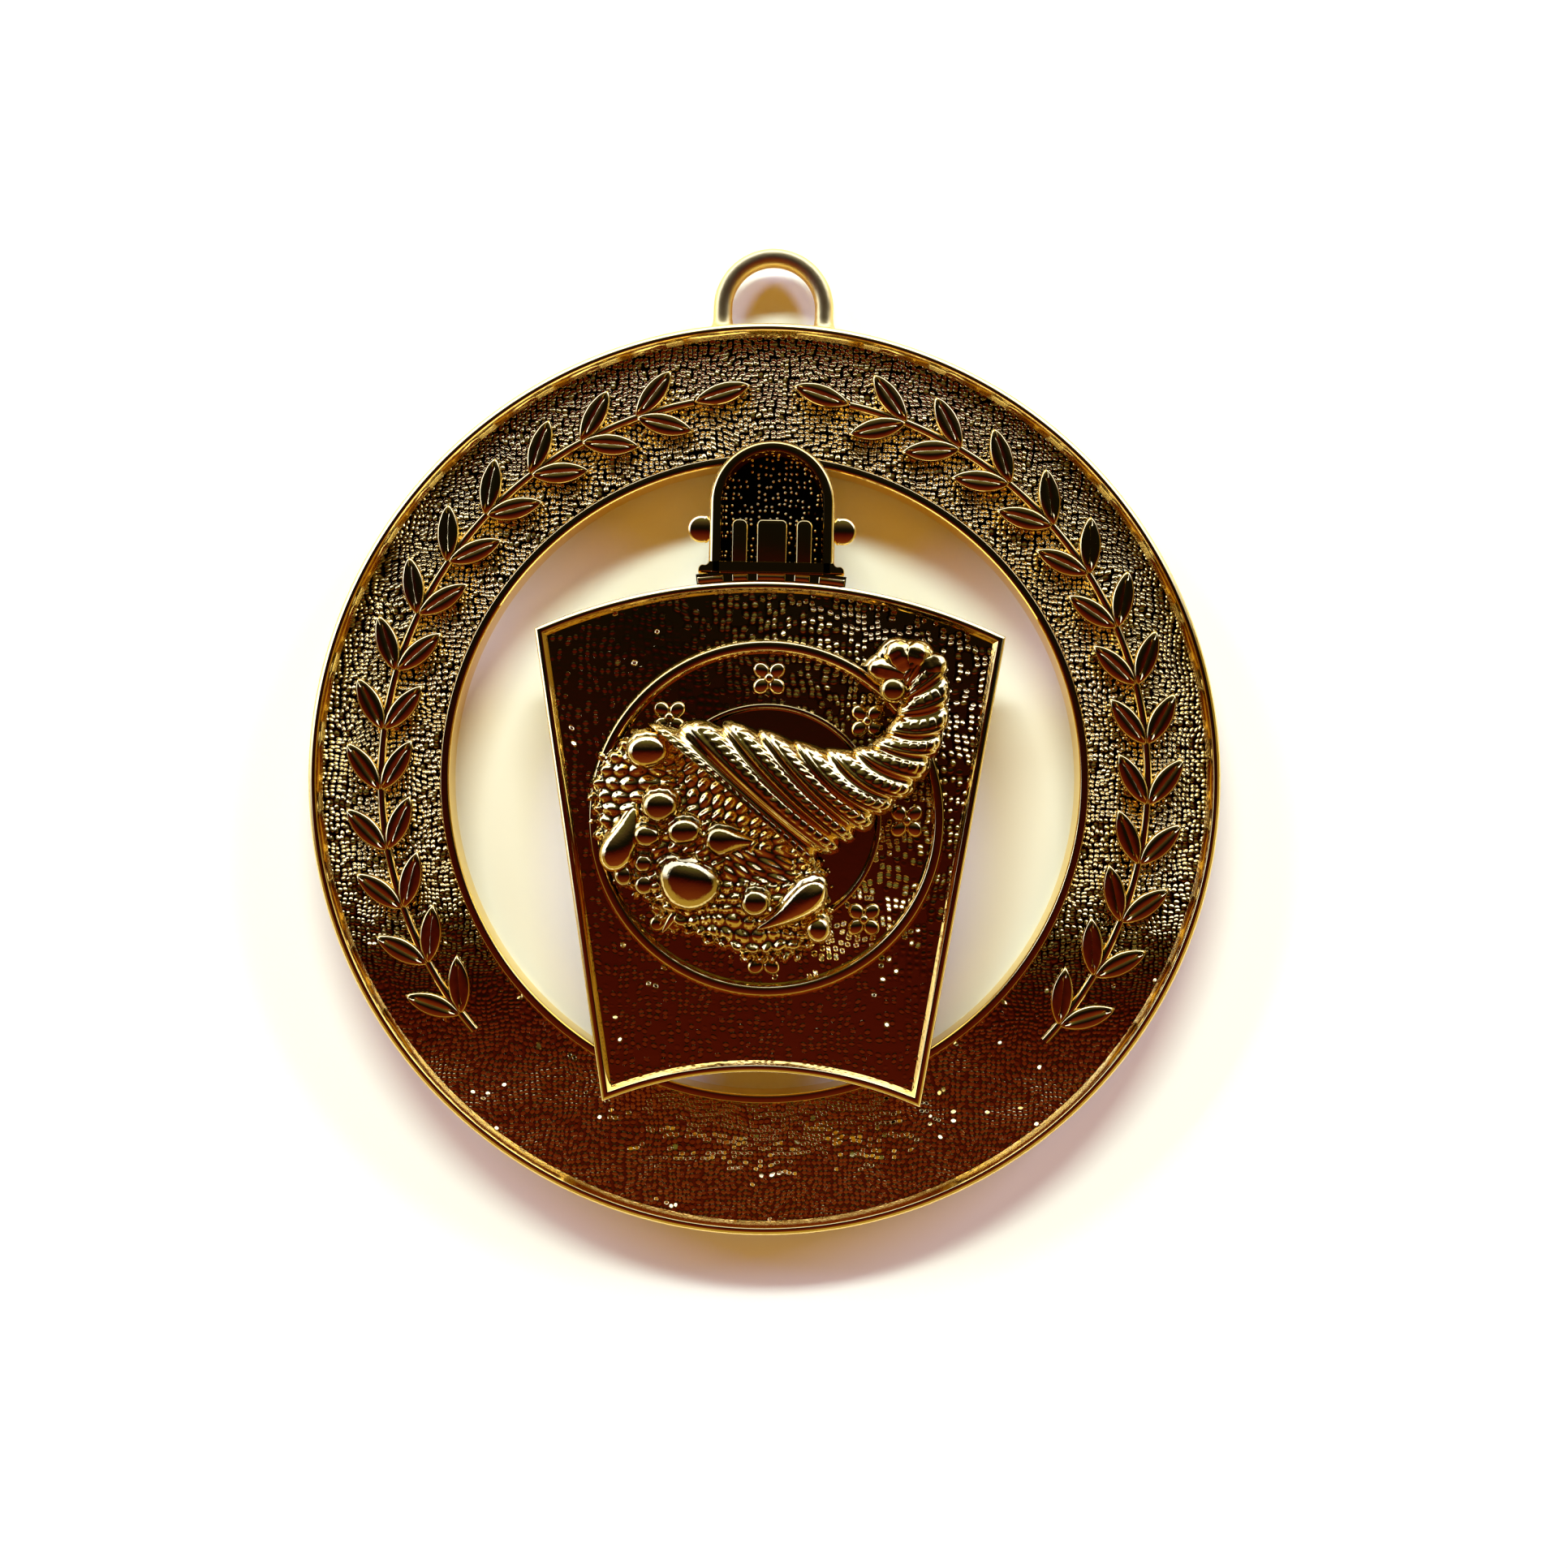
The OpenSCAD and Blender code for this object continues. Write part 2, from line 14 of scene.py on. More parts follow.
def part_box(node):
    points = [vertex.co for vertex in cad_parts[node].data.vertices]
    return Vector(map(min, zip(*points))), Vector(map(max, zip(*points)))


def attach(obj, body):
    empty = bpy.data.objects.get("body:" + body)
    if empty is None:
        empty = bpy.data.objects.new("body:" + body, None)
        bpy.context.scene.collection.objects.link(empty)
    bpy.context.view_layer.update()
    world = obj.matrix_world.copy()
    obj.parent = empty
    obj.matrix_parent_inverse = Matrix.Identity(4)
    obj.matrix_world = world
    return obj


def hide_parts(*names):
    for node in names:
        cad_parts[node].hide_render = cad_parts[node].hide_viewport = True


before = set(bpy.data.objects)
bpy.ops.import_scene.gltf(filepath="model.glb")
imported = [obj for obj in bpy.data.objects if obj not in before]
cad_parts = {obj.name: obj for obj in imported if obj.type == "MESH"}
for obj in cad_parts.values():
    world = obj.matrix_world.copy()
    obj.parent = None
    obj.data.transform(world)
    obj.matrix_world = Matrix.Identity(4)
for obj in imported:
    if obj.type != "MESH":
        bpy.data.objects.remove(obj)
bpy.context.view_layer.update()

MM = 0.001


def box_mm(node):
    """A node's lowest and highest corners in millimetres, in the frame."""
    low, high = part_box(node)
    return low / MM, high / MM


ring_low, ring_high = box_mm("ring")
plaque_low, plaque_high = box_mm("keystone_plaque")
emblem_low, emblem_high = box_mm("cornucopia")

# The ring's centre stands at this place in the frame
RING_R = ring_high.x
CENTRE = Vector((0, ring_low.y + RING_R, 0))
TO_FRAME = Matrix.Scale(MM, 4) @ Matrix.Translation(CENTRE)

# Ring
EYE_R = 27.6
BAND_T = 2.2
RIM_Z = 3.0
OUTER_BEVEL = 0.38
OUTER_BEVEL_H = 0.26
OUTER_RIM_W = 0.24
OUTER_SLOPE = 0.5
INNER_BEVEL = 0.18
INNER_RIM_W = 0.56
INNER_SLOPE = 0.34
BACK_CHAMFER = 0.3
RIM_ROUND = 0.07
SUNK = 0.1

# How near to a height a point counts as on it, and the least Z of an upward face's normal
NEAR = 0.01
UPWARD = 0.9

# Loop
WIRE_R = 0.83
LOOP_R = 4.47
LOOP_Y = ring_high.y - CENTRE.y - LOOP_R - WIRE_R
LOOP_Z = RIM_Z / 2
FOOT_Y = 39.05
# The solder round each foot: distance along the foot, and swelling there
SOLDER = ((40.7, 1.0), (40.25, 1.07), (39.95, 1.2), (39.75, 1.4), (FOOT_Y, 1.4))

# Branches
STEM_R = 33.7
STEM_W = 0.8
STEM_H = 0.4
LEAF_L = 5.3
LEAF_W = 2.0
LEAF_H = 0.65
LEAF_ANGLE = 33
LEAF_PAIRS = 13
BRANCH_REACH = 132
BARE_FOOT = 3
TIP_ANGLE = 11.75
LEAF_PITCH = (BRANCH_REACH - BARE_FOOT - TIP_ANGLE) / LEAF_PAIRS
BOSS_R = 1.2

# Keystone
PLAQUE_Z = plaque_low.z
# The plaque sits this far to the right of the ring's middle
PLAQUE_X = 0.27
FIELD_Z = 4.9
BORDER_Z = plaque_high.z
CORNER = Vector((13.7, -28.03))
SHOULDER = Vector((20.3, 12.6))
TOP_RISE = 4.45
BOTTOM_RISE = 2.8
# The border, from outside in: outer slope, flat crest, inner slope
BORDER = (0.3, 0.3, 0.35)

# Circles
CIRCLE_Y = -3.39
CIRCLE_R = 15.5
CIRCLE_RIM = 1.3
INNER_CIRCLE_R = 10.0
INNER_CIRCLE_RIM = 0.65
ROSETTE_R = 12.1
ROSETTE_W = 3.4
ROSETTE_H = 0.4

# Lewis
ARCH_Y = SHOULDER.y + TOP_RISE
SHACKLE_R = 5.4
SHACKLE_Y = plaque_high.y - CENTRE.y - SHACKLE_R
SHACKLE_BAND = 1.23
LEWIS_Z = 4.6
LEG_Z = 5.3
LEG_H = 5.35
FOOT_H = 1.35
# Where the shackle and the legs start, inside the foot
LEWIS_START = ARCH_Y + FOOT_H - 0.6
# Each leg's middle and width
LEGS = ((-2.775, 1.45), (0, 2.7), (2.775, 1.45))
FOOT_W = 12.8
PIN_Y = ARCH_Y + 4.45
PIN_Z = 4.275
PIN_R = 1.2
PIN_HALF = 7.3
# The strip under the lewis, and the first and last x of each bar on it
STRIP_W = 0.7
STRIP_Z = 5.15
STRIP_BARS = ((-1.2, 1.2), (2.0, 3.3), (-3.3, -2.0), (4.1, 6.3), (-6.3, -4.1))

# Horn of plenty: RIBS and BACKING hold shares of half its width, from the circles' centre
EMBLEM_R = 15.5
EMBLEM_Z = emblem_low.z
HORN_H = 0.995 * (emblem_high.z - emblem_low.z)

# One row for each rib of the horn, from the mouth to the curled tip:
# start x, y; middle x, y; end x, y; height as a share of HORN_H
RIBS = (
    (-0.66, 0.52, -0.19, 0.14, 0.28, -0.26, 0.92),
    (-0.40, 0.54, -0.03, 0.15, 0.40, -0.18, 1.00),
    (-0.20, 0.54, 0.11, 0.18, 0.48, -0.12, 1.00),
    (0.01, 0.49, 0.27, 0.18, 0.58, -0.05, 0.97),
    (0.20, 0.43, 0.42, 0.17, 0.69, 0.06, 0.92),
    (0.37, 0.40, 0.56, 0.22, 0.80, 0.15, 0.86),
    (0.50, 0.41, 0.68, 0.31, 0.89, 0.27, 0.80),
    (0.59, 0.45, 0.78, 0.40, 0.96, 0.42, 0.74),
    (0.66, 0.53, 0.84, 0.51, 1.00, 0.57, 0.70),
    (0.71, 0.62, 0.87, 0.66, 1.00, 0.74, 0.66),
    (0.73, 0.68, 0.86, 0.79, 0.97, 0.90, 0.62),
    (0.72, 0.72, 0.80, 0.89, 0.85, 1.00, 0.58),
    (0.70, 0.73, 0.68, 0.90, 0.66, 1.01, 0.52),
    (0.69, 0.72, 0.60, 0.82, 0.51, 0.86, 0.44),
)
MOUTH_LIP = 0.4
RIB_DEPTH = 0.16

# Fruit, in millimetres from the circles' centre: start x, y; end x, y; sideways bend; height of the
# middle above the back; half width; how far the end is drawn in; flutes
FRUIT = (
    (-12.05, 5.35, -8.3, 5.75, 0.0, 1.45, 1.60, 0.10, 0),
    (-10.6, 0.7, -7.4, 1.1, 0.0, 1.85, 1.50, 0.10, 0),
    (-13.7, -4.5, -11.2, 0.8, -0.4, 1.30, 1.90, 0.50, 0),
    (-11.25, -1.55, -8.85, -1.7, 0.0, 1.75, 1.05, 0.15, 0),
    (-8.4, -1.35, -5.4, -1.0, 0.0, 2.05, 1.25, 0.10, 0),
    (-5.2, -2.1, -0.6, -2.1, 0.2, 2.05, 1.75, 0.75, 0),
    (-11.2, -4.0, -9.5, -3.9, 0.0, 1.35, 0.85, 0.10, 0),
    (-12.95, -5.1, -11.2, -5.0, 0.0, 0.85, 0.98, 0.00, 0),
    (-11.2, -5.85, -9.4, -5.75, 0.0, 0.95, 0.95, 0.00, 0),
    (-5.7, -3.2, -7.3, -8.1, 0.0, 0.75, 3.45, 0.22, 0),
    (-2.1, -7.2, 0.55, -7.0, 0.0, 1.55, 1.30, 0.10, 0),
    (5.0, -5.3, -0.6, -9.4, 0.4, 1.85, 1.85, 0.75, 5),
    (3.5, -9.6, 5.7, -9.1, 0.0, 0.95, 1.20, 0.00, 0),
)
# A fruit's thickness as a share of its width, and how much higher up the leaf behind it stands
FLATNESS = 0.78
CAP_RISE = 0.55

# Outline of the backing under the fruit, clockwise from the mouth's upper end
BACKING = (
    (-0.615, 0.505), (-0.775, 0.455), (-0.925, 0.325), (-0.985, 0.185), (-0.965, -0.025),
    (-0.925, -0.205), (-0.805, -0.375), (-0.625, -0.505), (-0.505, -0.625), (-0.365, -0.685),
    (-0.105, -0.785), (0.175, -0.775), (0.365, -0.645), (0.355, -0.395), (0.325, -0.235),
    (-0.105, 0.205), (-0.405, 0.455),
)
# The sheet of corn and grapes: the step of its grid, and the lowest corner and the size of the field
# that it is cut from
BED_STEP = 0.12
BED_LOW = Vector((-15.6, -12.6))
BED_SIZE = Vector((21.6, 20.8))

# Tail lobes round the curled tip, in millimetres from the circles' centre:
# outer end x, y; half width; height
CURL = Vector((12.0, 12.3))
LOBES = (
    (8.4, 13.1, 0.95, 1.0),
    (10.4, 15.3, 1.15, 1.0),
    (12.9, 15.3, 1.15, 1.0),
    (15.1, 13.8, 1.10, 1.0),
)

# Camera: the side of the square picture and the place of the ring's centre in it, in pixels, and how
# many of them a millimetre of the ring's face is
FRAME_PX = 1932
RING_PX = Vector((942, 960))
FACE_PX = 14.0
LENS = 36.0
ROLL = 1.1


# Shapes

def join(*shapes):
    """One shape from several."""
    whole = bmesh.new()
    for shape in shapes:
        mesh = bpy.data.meshes.new("shape")
        shape.to_mesh(mesh)
        shape.free()
        whole.from_mesh(mesh)
        bpy.data.meshes.remove(mesh)
    return whole


def copies(shape, places):
    """A copy of a shape at each place."""
    mesh = bpy.data.meshes.new("shape")
    shape.to_mesh(mesh)
    shape.free()
    whole = bmesh.new()
    for place in places:
        before = len(whole.verts)
        whole.from_mesh(mesh)
        whole.verts.ensure_lookup_table()
        bmesh.ops.transform(whole, matrix=place, verts=whole.verts[before:])
    bpy.data.meshes.remove(mesh)
    return whole


def turn(degrees, axis="Z"):
    return Matrix.Rotation(math.radians(degrees), 4, axis)


def move(x, y, z=0):
    return Matrix.Translation((x, y, z))


def turned(profile, steps, closed=True):
    """An outline of (radius, height) points turned all the way about Z."""
    shape = bmesh.new()
    points = [shape.verts.new((radius, 0, z)) for radius, z in profile]
    ends = points[1:] + points[:1] if closed else points[1:]
    edges = [shape.edges.new(pair) for pair in zip(points, ends)]
    bmesh.ops.spin(shape, geom=points + edges, axis=(0, 0, 1), cent=(0, 0, 0),
                   angle=math.tau, steps=steps, use_merge=True)
    bmesh.ops.remove_doubles(shape, verts=shape.verts, dist=1e-4)
    bmesh.ops.recalc_face_normals(shape, faces=shape.faces)
    return shape


def slab(outline, low_z, high_z, insets=()):
    """A slab over an outline, whose top is drawn in and lifted by each (inset, rise) in turn."""
    shape = bmesh.new()
    face = shape.faces.new([shape.verts.new((x, y, low_z)) for x, y in outline])
    grown = bmesh.ops.extrude_face_region(shape, geom=[face])["geom"]
    top = [part for part in grown if isinstance(part, bmesh.types.BMFace)]
    raised = [part for part in grown if isinstance(part, bmesh.types.BMVert)]
    bmesh.ops.translate(shape, verts=raised, vec=(0, 0, high_z - low_z))
    bmesh.ops.recalc_face_normals(shape, faces=shape.faces)
    for inset, rise in insets:
        bmesh.ops.inset_region(shape, faces=top, thickness=inset, depth=rise,
                               use_even_offset=True, use_boundary=True)
    return shape


def stack(levels):
    """A solid through (outline, height) levels from the back up, each with equally many points."""
    shape = bmesh.new()
    outline, z = levels[0]
    back = shape.faces.new([shape.verts.new((x, y, z)) for x, y in outline])
    rim = back.edges[:]
    for after, z in levels[1:]:
        grown = bmesh.ops.extrude_edge_only(shape, edges=rim)["geom"]
        rim = [part for part in grown if isinstance(part, bmesh.types.BMEdge)]
        for corner in (part for part in grown if isinstance(part, bmesh.types.BMVert)):
            nearest = min(range(len(outline)),
                          key=lambda k: (Vector(outline[k]) - corner.co.xy).length_squared)
            corner.co = (*after[nearest], z)
        outline = after
    bmesh.ops.holes_fill(shape, edges=rim, sides=0)
    bmesh.ops.recalc_face_normals(shape, faces=shape.faces)
    return shape


def softened(profile, width):
    """A profile of (inset, height) points with each corner between its ends rounded."""
    points = [profile[0]]
    for before, corner, after in zip(profile, profile[1:], profile[2:]):
        before, corner, after = Vector(before), Vector(corner), Vector(after)
        start = corner + (before - corner).normalized() * width
        end = corner + (after - corner).normalized() * width
        points += [tuple(start), tuple((start + 2 * corner + end) / 4), tuple(end)]
    return points + [profile[-1]]


def round_over(shape, width, low_z, high_z):
    """Rounds the shape's creases between two heights."""
    sharper = 20
    creases = [edge for edge in shape.edges
               if all(low_z < corner.co.z < high_z for corner in edge.verts)
               and edge.calc_face_angle(0) > math.radians(sharper)]
    bmesh.ops.bevel(shape, geom=creases, offset=width, offset_type="OFFSET", segments=3,
                    profile=0.5, affect="EDGES", material=-1, clamp_overlap=True)
    return shape


def give_finish(shape, finish, test):
    """Gives a finish, by its number in the piece's list, to the faces that pass a test."""
    for face in shape.faces:
        if test(face.calc_center_median(), face.normal):
            face.material_index = finish
    return shape


def arc(centre, radius, start, end, steps):
    """Points on an arc, from one angle to another in degrees, with both ends."""
    angles = [math.radians(start + (end - start) * k / steps) for k in range(steps + 1)]
    return [(centre[0] + radius * math.cos(a), centre[1] + radius * math.sin(a)) for a in angles]


def arc_radius(chord, rise):
    return (chord * chord / 4 + rise * rise) / (2 * rise)


def close_below(shape, z):
    """Closes an open sheet into a solid with a flat underside at a height."""
    rim = [edge for edge in shape.edges if edge.is_boundary]
    grown = bmesh.ops.extrude_edge_only(shape, edges=rim)["geom"]
    for part in grown:
        if isinstance(part, bmesh.types.BMVert):
            part.co.z = z
    bmesh.ops.holes_fill(shape, edges=[edge for edge in shape.edges if edge.is_boundary], sides=0)
    bmesh.ops.recalc_face_normals(shape, faces=shape.faces)
    return shape


def finish(shape, name, finishes, slot, *nodes):
    """Brings a piece into the frame, with its finishes, and lets it stand for CAD nodes."""
    crease = 38
    shape.transform(TO_FRAME)
    mesh = bpy.data.meshes.new(name)
    shape.to_mesh(mesh)
    shape.free()
    for material in finishes:
        mesh.materials.append(material)
    mesh.shade_smooth()
    mesh.set_sharp_from_angle(angle=math.radians(crease))
    piece = bpy.data.objects.new(name, mesh)
    bpy.context.scene.collection.objects.link(piece)
    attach(piece, "root")
    if nodes:
        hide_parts(*nodes)
    return piece


# Ring

def band():
    """The band with its two rims, rounded along their crests."""
    outer = RING_R - OUTER_BEVEL
    inner = EYE_R + INNER_BEVEL
    shape = turned([
        (EYE_R + BACK_CHAMFER, 0), (RING_R - BACK_CHAMFER, 0),
        (RING_R, BACK_CHAMFER), (RING_R, RIM_Z - OUTER_BEVEL_H),
        (outer, RIM_Z), (outer - OUTER_RIM_W, RIM_Z), (outer - OUTER_RIM_W - OUTER_SLOPE, BAND_T),
        (inner + INNER_RIM_W + INNER_SLOPE, BAND_T), (inner + INNER_RIM_W, RIM_Z), (inner, RIM_Z),
        (EYE_R, RIM_Z - INNER_BEVEL), (EYE_R, BACK_CHAMFER),
    ], 288)
    round_over(shape, RIM_ROUND, RIM_Z - OUTER_BEVEL_H - NEAR, RIM_Z + NEAR)
    give_finish(shape, 1, lambda middle, normal: normal.z > UPWARD and middle.z < BAND_T + NEAR)
    return shape


def wire_loop():
    """Half a turn of round wire on two straight feet, with solder round each foot."""
    shape = bmesh.new()
    bmesh.ops.create_circle(shape, segments=32, radius=WIRE_R,
                            matrix=move(LOOP_R, LOOP_Y, LOOP_Z) @ turn(90, "X"))
    bmesh.ops.spin(shape, geom=shape.verts[:] + shape.edges[:], axis=(0, 0, 1),
                   cent=(0, LOOP_Y, 0), angle=math.pi, steps=72)
    for along, swelling in SOLDER:
        rim = [edge for edge in shape.edges if edge.is_boundary]
        grown = bmesh.ops.extrude_edge_only(shape, edges=rim)["geom"]
        for corner in grown:
            if isinstance(corner, bmesh.types.BMVert):
                side = math.copysign(LOOP_R, corner.co.x)
                corner.co.y = along
                outwards = Vector((corner.co.x - side, corner.co.z - LOOP_Z)).normalized()
                corner.co.x = side + outwards.x * WIRE_R * swelling
                corner.co.z = LOOP_Z + outwards.y * WIRE_R * swelling
    bmesh.ops.holes_fill(shape, edges=[edge for edge in shape.edges if edge.is_boundary], sides=0)
    bmesh.ops.recalc_face_normals(shape, faces=shape.faces)
    return shape


def leaf(length, width, height):
    """A pointed leaf from the origin along +X, with a grooved midrib and slanting veins."""
    flatness = 4.0
    groove_w = 0.10
    groove = 0.18
    vein = 0.03
    veins = 7
    arc_r = arc_radius(length, width / 2)
    shape = bmesh.new()
    bmesh.ops.create_grid(shape, x_segments=18, y_segments=14, size=1)
    for corner in shape.verts:
        s = (1 - math.cos(math.pi * (corner.co.x + 1) / 2)) / 2
        t = math.sin(math.pi * corner.co.y / 2)
        from_middle = length * (s - 0.5)
        half = math.sqrt(arc_r * arc_r - from_middle * from_middle) - arc_r + width / 2
        crown = max(0, 1 - abs(t) ** flatness) ** (1 / flatness)
        tip = min(1, half / (0.22 * width)) ** 0.5
        cut = groove * math.exp(-(t / groove_w) ** 2)
        ripple = vein * math.cos(math.tau * (veins * s - 1.1 * abs(t)))
        corner.co = (length * s, half * t, height * tip * crown * (1 - cut - vein + ripple))
    return close_below(shape, -SUNK)


def leaf_places():
    """Where each leaf of one branch stands: pairs up the right side of the ring, and one at the tip."""
    places = []
    for pair in range(LEAF_PAIRS):
        for side in (-1, 1):
            places.append(turn(pair * LEAF_PITCH + BARE_FOOT - BRANCH_REACH)
                          @ move(0, STEM_R, BAND_T) @ turn(180 + side * LEAF_ANGLE))
    places.append(turn(-TIP_ANGLE) @ move(0, STEM_R, BAND_T) @ turn(180 - TIP_ANGLE / 2))
    return places


def stem():
    """The stem of one branch, half round, up the right side of the ring."""
    shape = bmesh.new()
    half_round = [(STEM_R - STEM_W / 2, BAND_T - SUNK)]
    half_round += [(STEM_R + STEM_W / 2 * math.cos(a), BAND_T + STEM_H * math.sin(a))
                   for a in (math.pi * k / 8 for k in range(8, -1, -1))]
    half_round += [(STEM_R + STEM_W / 2, BAND_T - SUNK)]
    face = shape.faces.new([shape.verts.new((0, y, z)) for y, z in half_round])
    bmesh.ops.rotate(shape, verts=shape.verts, matrix=turn(-BRANCH_REACH), cent=(0, 0, 0))
    bmesh.ops.spin(shape, geom=[face], axis=(0, 0, 1), cent=(0, 0, 0),
                   angle=math.radians(BRANCH_REACH - TIP_ANGLE), steps=120)
    bmesh.ops.recalc_face_normals(shape, faces=shape.faces)
    return shape


def boss():
    """A round boss, a domed stud in a collar.

    It belongs between the branch tips, as in the CAD, but is left at the ring's centre under the plaque.
    """
    stud = 0.55 * BOSS_R
    dome = [(stud * math.cos(a), BAND_T + 0.6 * LEAF_H + 0.4 * LEAF_H * math.sin(a))
            for a in (math.pi / 2 * k / 6 for k in range(7))]
    return turned([(0, BAND_T - SUNK), (BOSS_R, BAND_T - SUNK), (BOSS_R, BAND_T + 0.5 * LEAF_H),
                   (0.85 * BOSS_R, BAND_T + 0.8 * LEAF_H), (0.7 * BOSS_R, BAND_T + 0.5 * LEAF_H),
                   *dome], 40, closed=False)


def ring():
    right = join(copies(leaf(LEAF_L, LEAF_W, LEAF_H), leaf_places()), stem())
    left = right.copy()
    bmesh.ops.scale(left, vec=(-1, 1, 1), verts=left.verts)
    bmesh.ops.reverse_faces(left, faces=left.faces)
    finish(join(band(), right, left, boss()), "gilt_ring", [polished, ring_linen], "ring_gilt", "ring")
    finish(wire_loop(), "wire_loop", [drawn], "ring_gilt")


# Keystone plaque

def crossing(centre_y, radius, inset):
    """Where the side edge, drawn in by inset, meets an arc about a centre on the middle line."""
    along_side = (CORNER - SHOULDER).normalized()
    start = SHOULDER + inset * Vector((along_side.y, -along_side.x)) - Vector((0, centre_y))
    reach = start.dot(along_side)
    near = start - reach * along_side
    step = math.sqrt(radius * radius - near.length_squared)
    return near, along_side, step


def keystone_outline(inset):
    """The keystone's outline with its arched top and bottom edges, drawn in by inset."""
    top_r = arc_radius(2 * SHOULDER.x, TOP_RISE)
    bottom_r = arc_radius(2 * CORNER.x, BOTTOM_RISE)
    near, side, step = crossing(ARCH_Y - top_r, top_r - inset, inset)
    shoulder = near - step * side
    top_half = math.degrees(math.atan2(shoulder.x, shoulder.y))
    near, side, step = crossing(CORNER.y + BOTTOM_RISE - bottom_r, bottom_r + inset, inset)
    corner = near - step * side
    bottom_half = math.degrees(math.atan2(corner.x, corner.y))
    top = arc((0, ARCH_Y - top_r), top_r - inset, 90 - top_half, 90 + top_half, 64)
    bottom = arc((0, CORNER.y + BOTTOM_RISE - bottom_r), bottom_r + inset,
                 90 + bottom_half, 90 - bottom_half, 48)
    return top + bottom


def keystone():
    outer, crest, inner = BORDER
    border = softened([(0, PLAQUE_Z), (0, BORDER_Z - 0.7 * outer), (outer, BORDER_Z),
                       (outer + crest, BORDER_Z), (outer + crest + inner, FIELD_Z)], RIM_ROUND)
    shape = stack([(keystone_outline(inset), z) for inset, z in border])
    give_finish(shape, 1,
                lambda middle, normal: normal.z > UPWARD and abs(middle.z - FIELD_Z) < NEAR)
    return shape


def circle_rim(outer_r, width):
    """A raised rim with sloping sides and a rounded crest."""
    slope = 0.25 * width
    shape = turned([(outer_r, FIELD_Z - SUNK), (outer_r, FIELD_Z + 0.05), (outer_r - slope, BORDER_Z),
                    (outer_r - width + slope, BORDER_Z), (outer_r - width, FIELD_Z + 0.05),
                    (outer_r - width, FIELD_Z - SUNK)], 180)
    return round_over(shape, 0.45 * slope, BORDER_Z - NEAR, BORDER_Z + NEAR)


def inner_disc():
    """The smooth disc inside the small circle."""
    radius = INNER_CIRCLE_R - INNER_CIRCLE_RIM / 2
    return turned([(0, FIELD_Z - SUNK), (radius, FIELD_Z - SUNK), (radius, FIELD_Z + 0.03),
                   (0, FIELD_Z + 0.03)], 96, closed=False)


def rosette():
    """Four round petals about a stud."""
    petal_r = ROSETTE_W / 5
    petal = bmesh.new()
    bmesh.ops.create_uvsphere(petal, u_segments=20, v_segments=10, radius=petal_r,
                              matrix=Matrix.Diagonal((1.15, 1, ROSETTE_H / petal_r, 1)))
    around = [turn(angle) @ move(ROSETTE_W / 2 - 1.1 * petal_r, 0) for angle in (45, 135, 225, 315)]
    stud = bmesh.new()
    bmesh.ops.create_uvsphere(stud, u_segments=16, v_segments=10, radius=0.75 * petal_r,
                              matrix=Matrix.Diagonal((1, 1, (ROSETTE_H + 0.15) / (0.75 * petal_r), 1)))
    return join(copies(petal, around), stud)


def circles():
    """The two raised circles, with eight rosettes between them."""
    ring_of = [turn(angle) @ move(ROSETTE_R, 0, FIELD_Z) @ turn(-angle) for angle in range(0, 360, 45)]
    shape = join(circle_rim(CIRCLE_R, CIRCLE_RIM), circle_rim(INNER_CIRCLE_R, INNER_CIRCLE_RIM),
                 inner_disc(), copies(rosette(), ring_of))
    shape.transform(move(0, CIRCLE_Y))
    return shape


def shackle_outline(inset):
    """The shackle's arch on straight sides, which end inside the foot."""
    end_y = LEWIS_START - 0.1 * inset
    reach = SHACKLE_R - inset
    return [(-reach, end_y), (reach, end_y)] + arc((0, SHACKLE_Y), reach, 0, 180, 48)


def shackle():
    """The U-shaped shackle, raised round a sunk field."""
    edge = 0.3
    inner = 0.25
    top_z = BORDER_Z - 0.03
    band_profile = softened([(0, PLAQUE_Z), (0, top_z - edge), (edge, top_z),
                             (SHACKLE_BAND - inner, top_z), (SHACKLE_BAND, LEWIS_Z)], RIM_ROUND)
    shape = stack([(shackle_outline(inset), z) for inset, z in band_profile])
    give_finish(shape, 1, lambda middle, normal: normal.z > UPWARD and middle.z < LEWIS_Z + NEAR)
    return shape


def leg(x, width):
    """A leg of the lewis with a rounded top end."""
    head_y = ARCH_Y + LEG_H
    corner = 0.4 * width if width < 2 else 0.5
    bevel_w = 0.14
    bevel_h = 0.2
    crest_round = 0.06
    outline = [(x - width / 2, LEWIS_START), (x + width / 2, LEWIS_START)]
    outline += arc((x + width / 2 - corner, head_y - corner), corner, 0, 90, 8)
    outline += arc((x - width / 2 + corner, head_y - corner), corner, 90, 180, 8)
    shape = slab(outline, LEWIS_Z - SUNK, LEG_Z - bevel_h, [(bevel_w, bevel_h)])
    return round_over(shape, crest_round, LEG_Z - NEAR, LEG_Z + NEAR)


def strip_outline(first, last, low, high):
    """A part of a strip that follows the keystone's arched top edge, between two distances from it."""
    top_r = arc_radius(2 * SHOULDER.x, TOP_RISE)
    middle = (0, ARCH_Y - top_r)
    start, end = (90 - math.degrees(x / top_r) for x in (last, first))
    return arc(middle, top_r + high, start, end, 8) + arc(middle, top_r + low, end, start, 8)


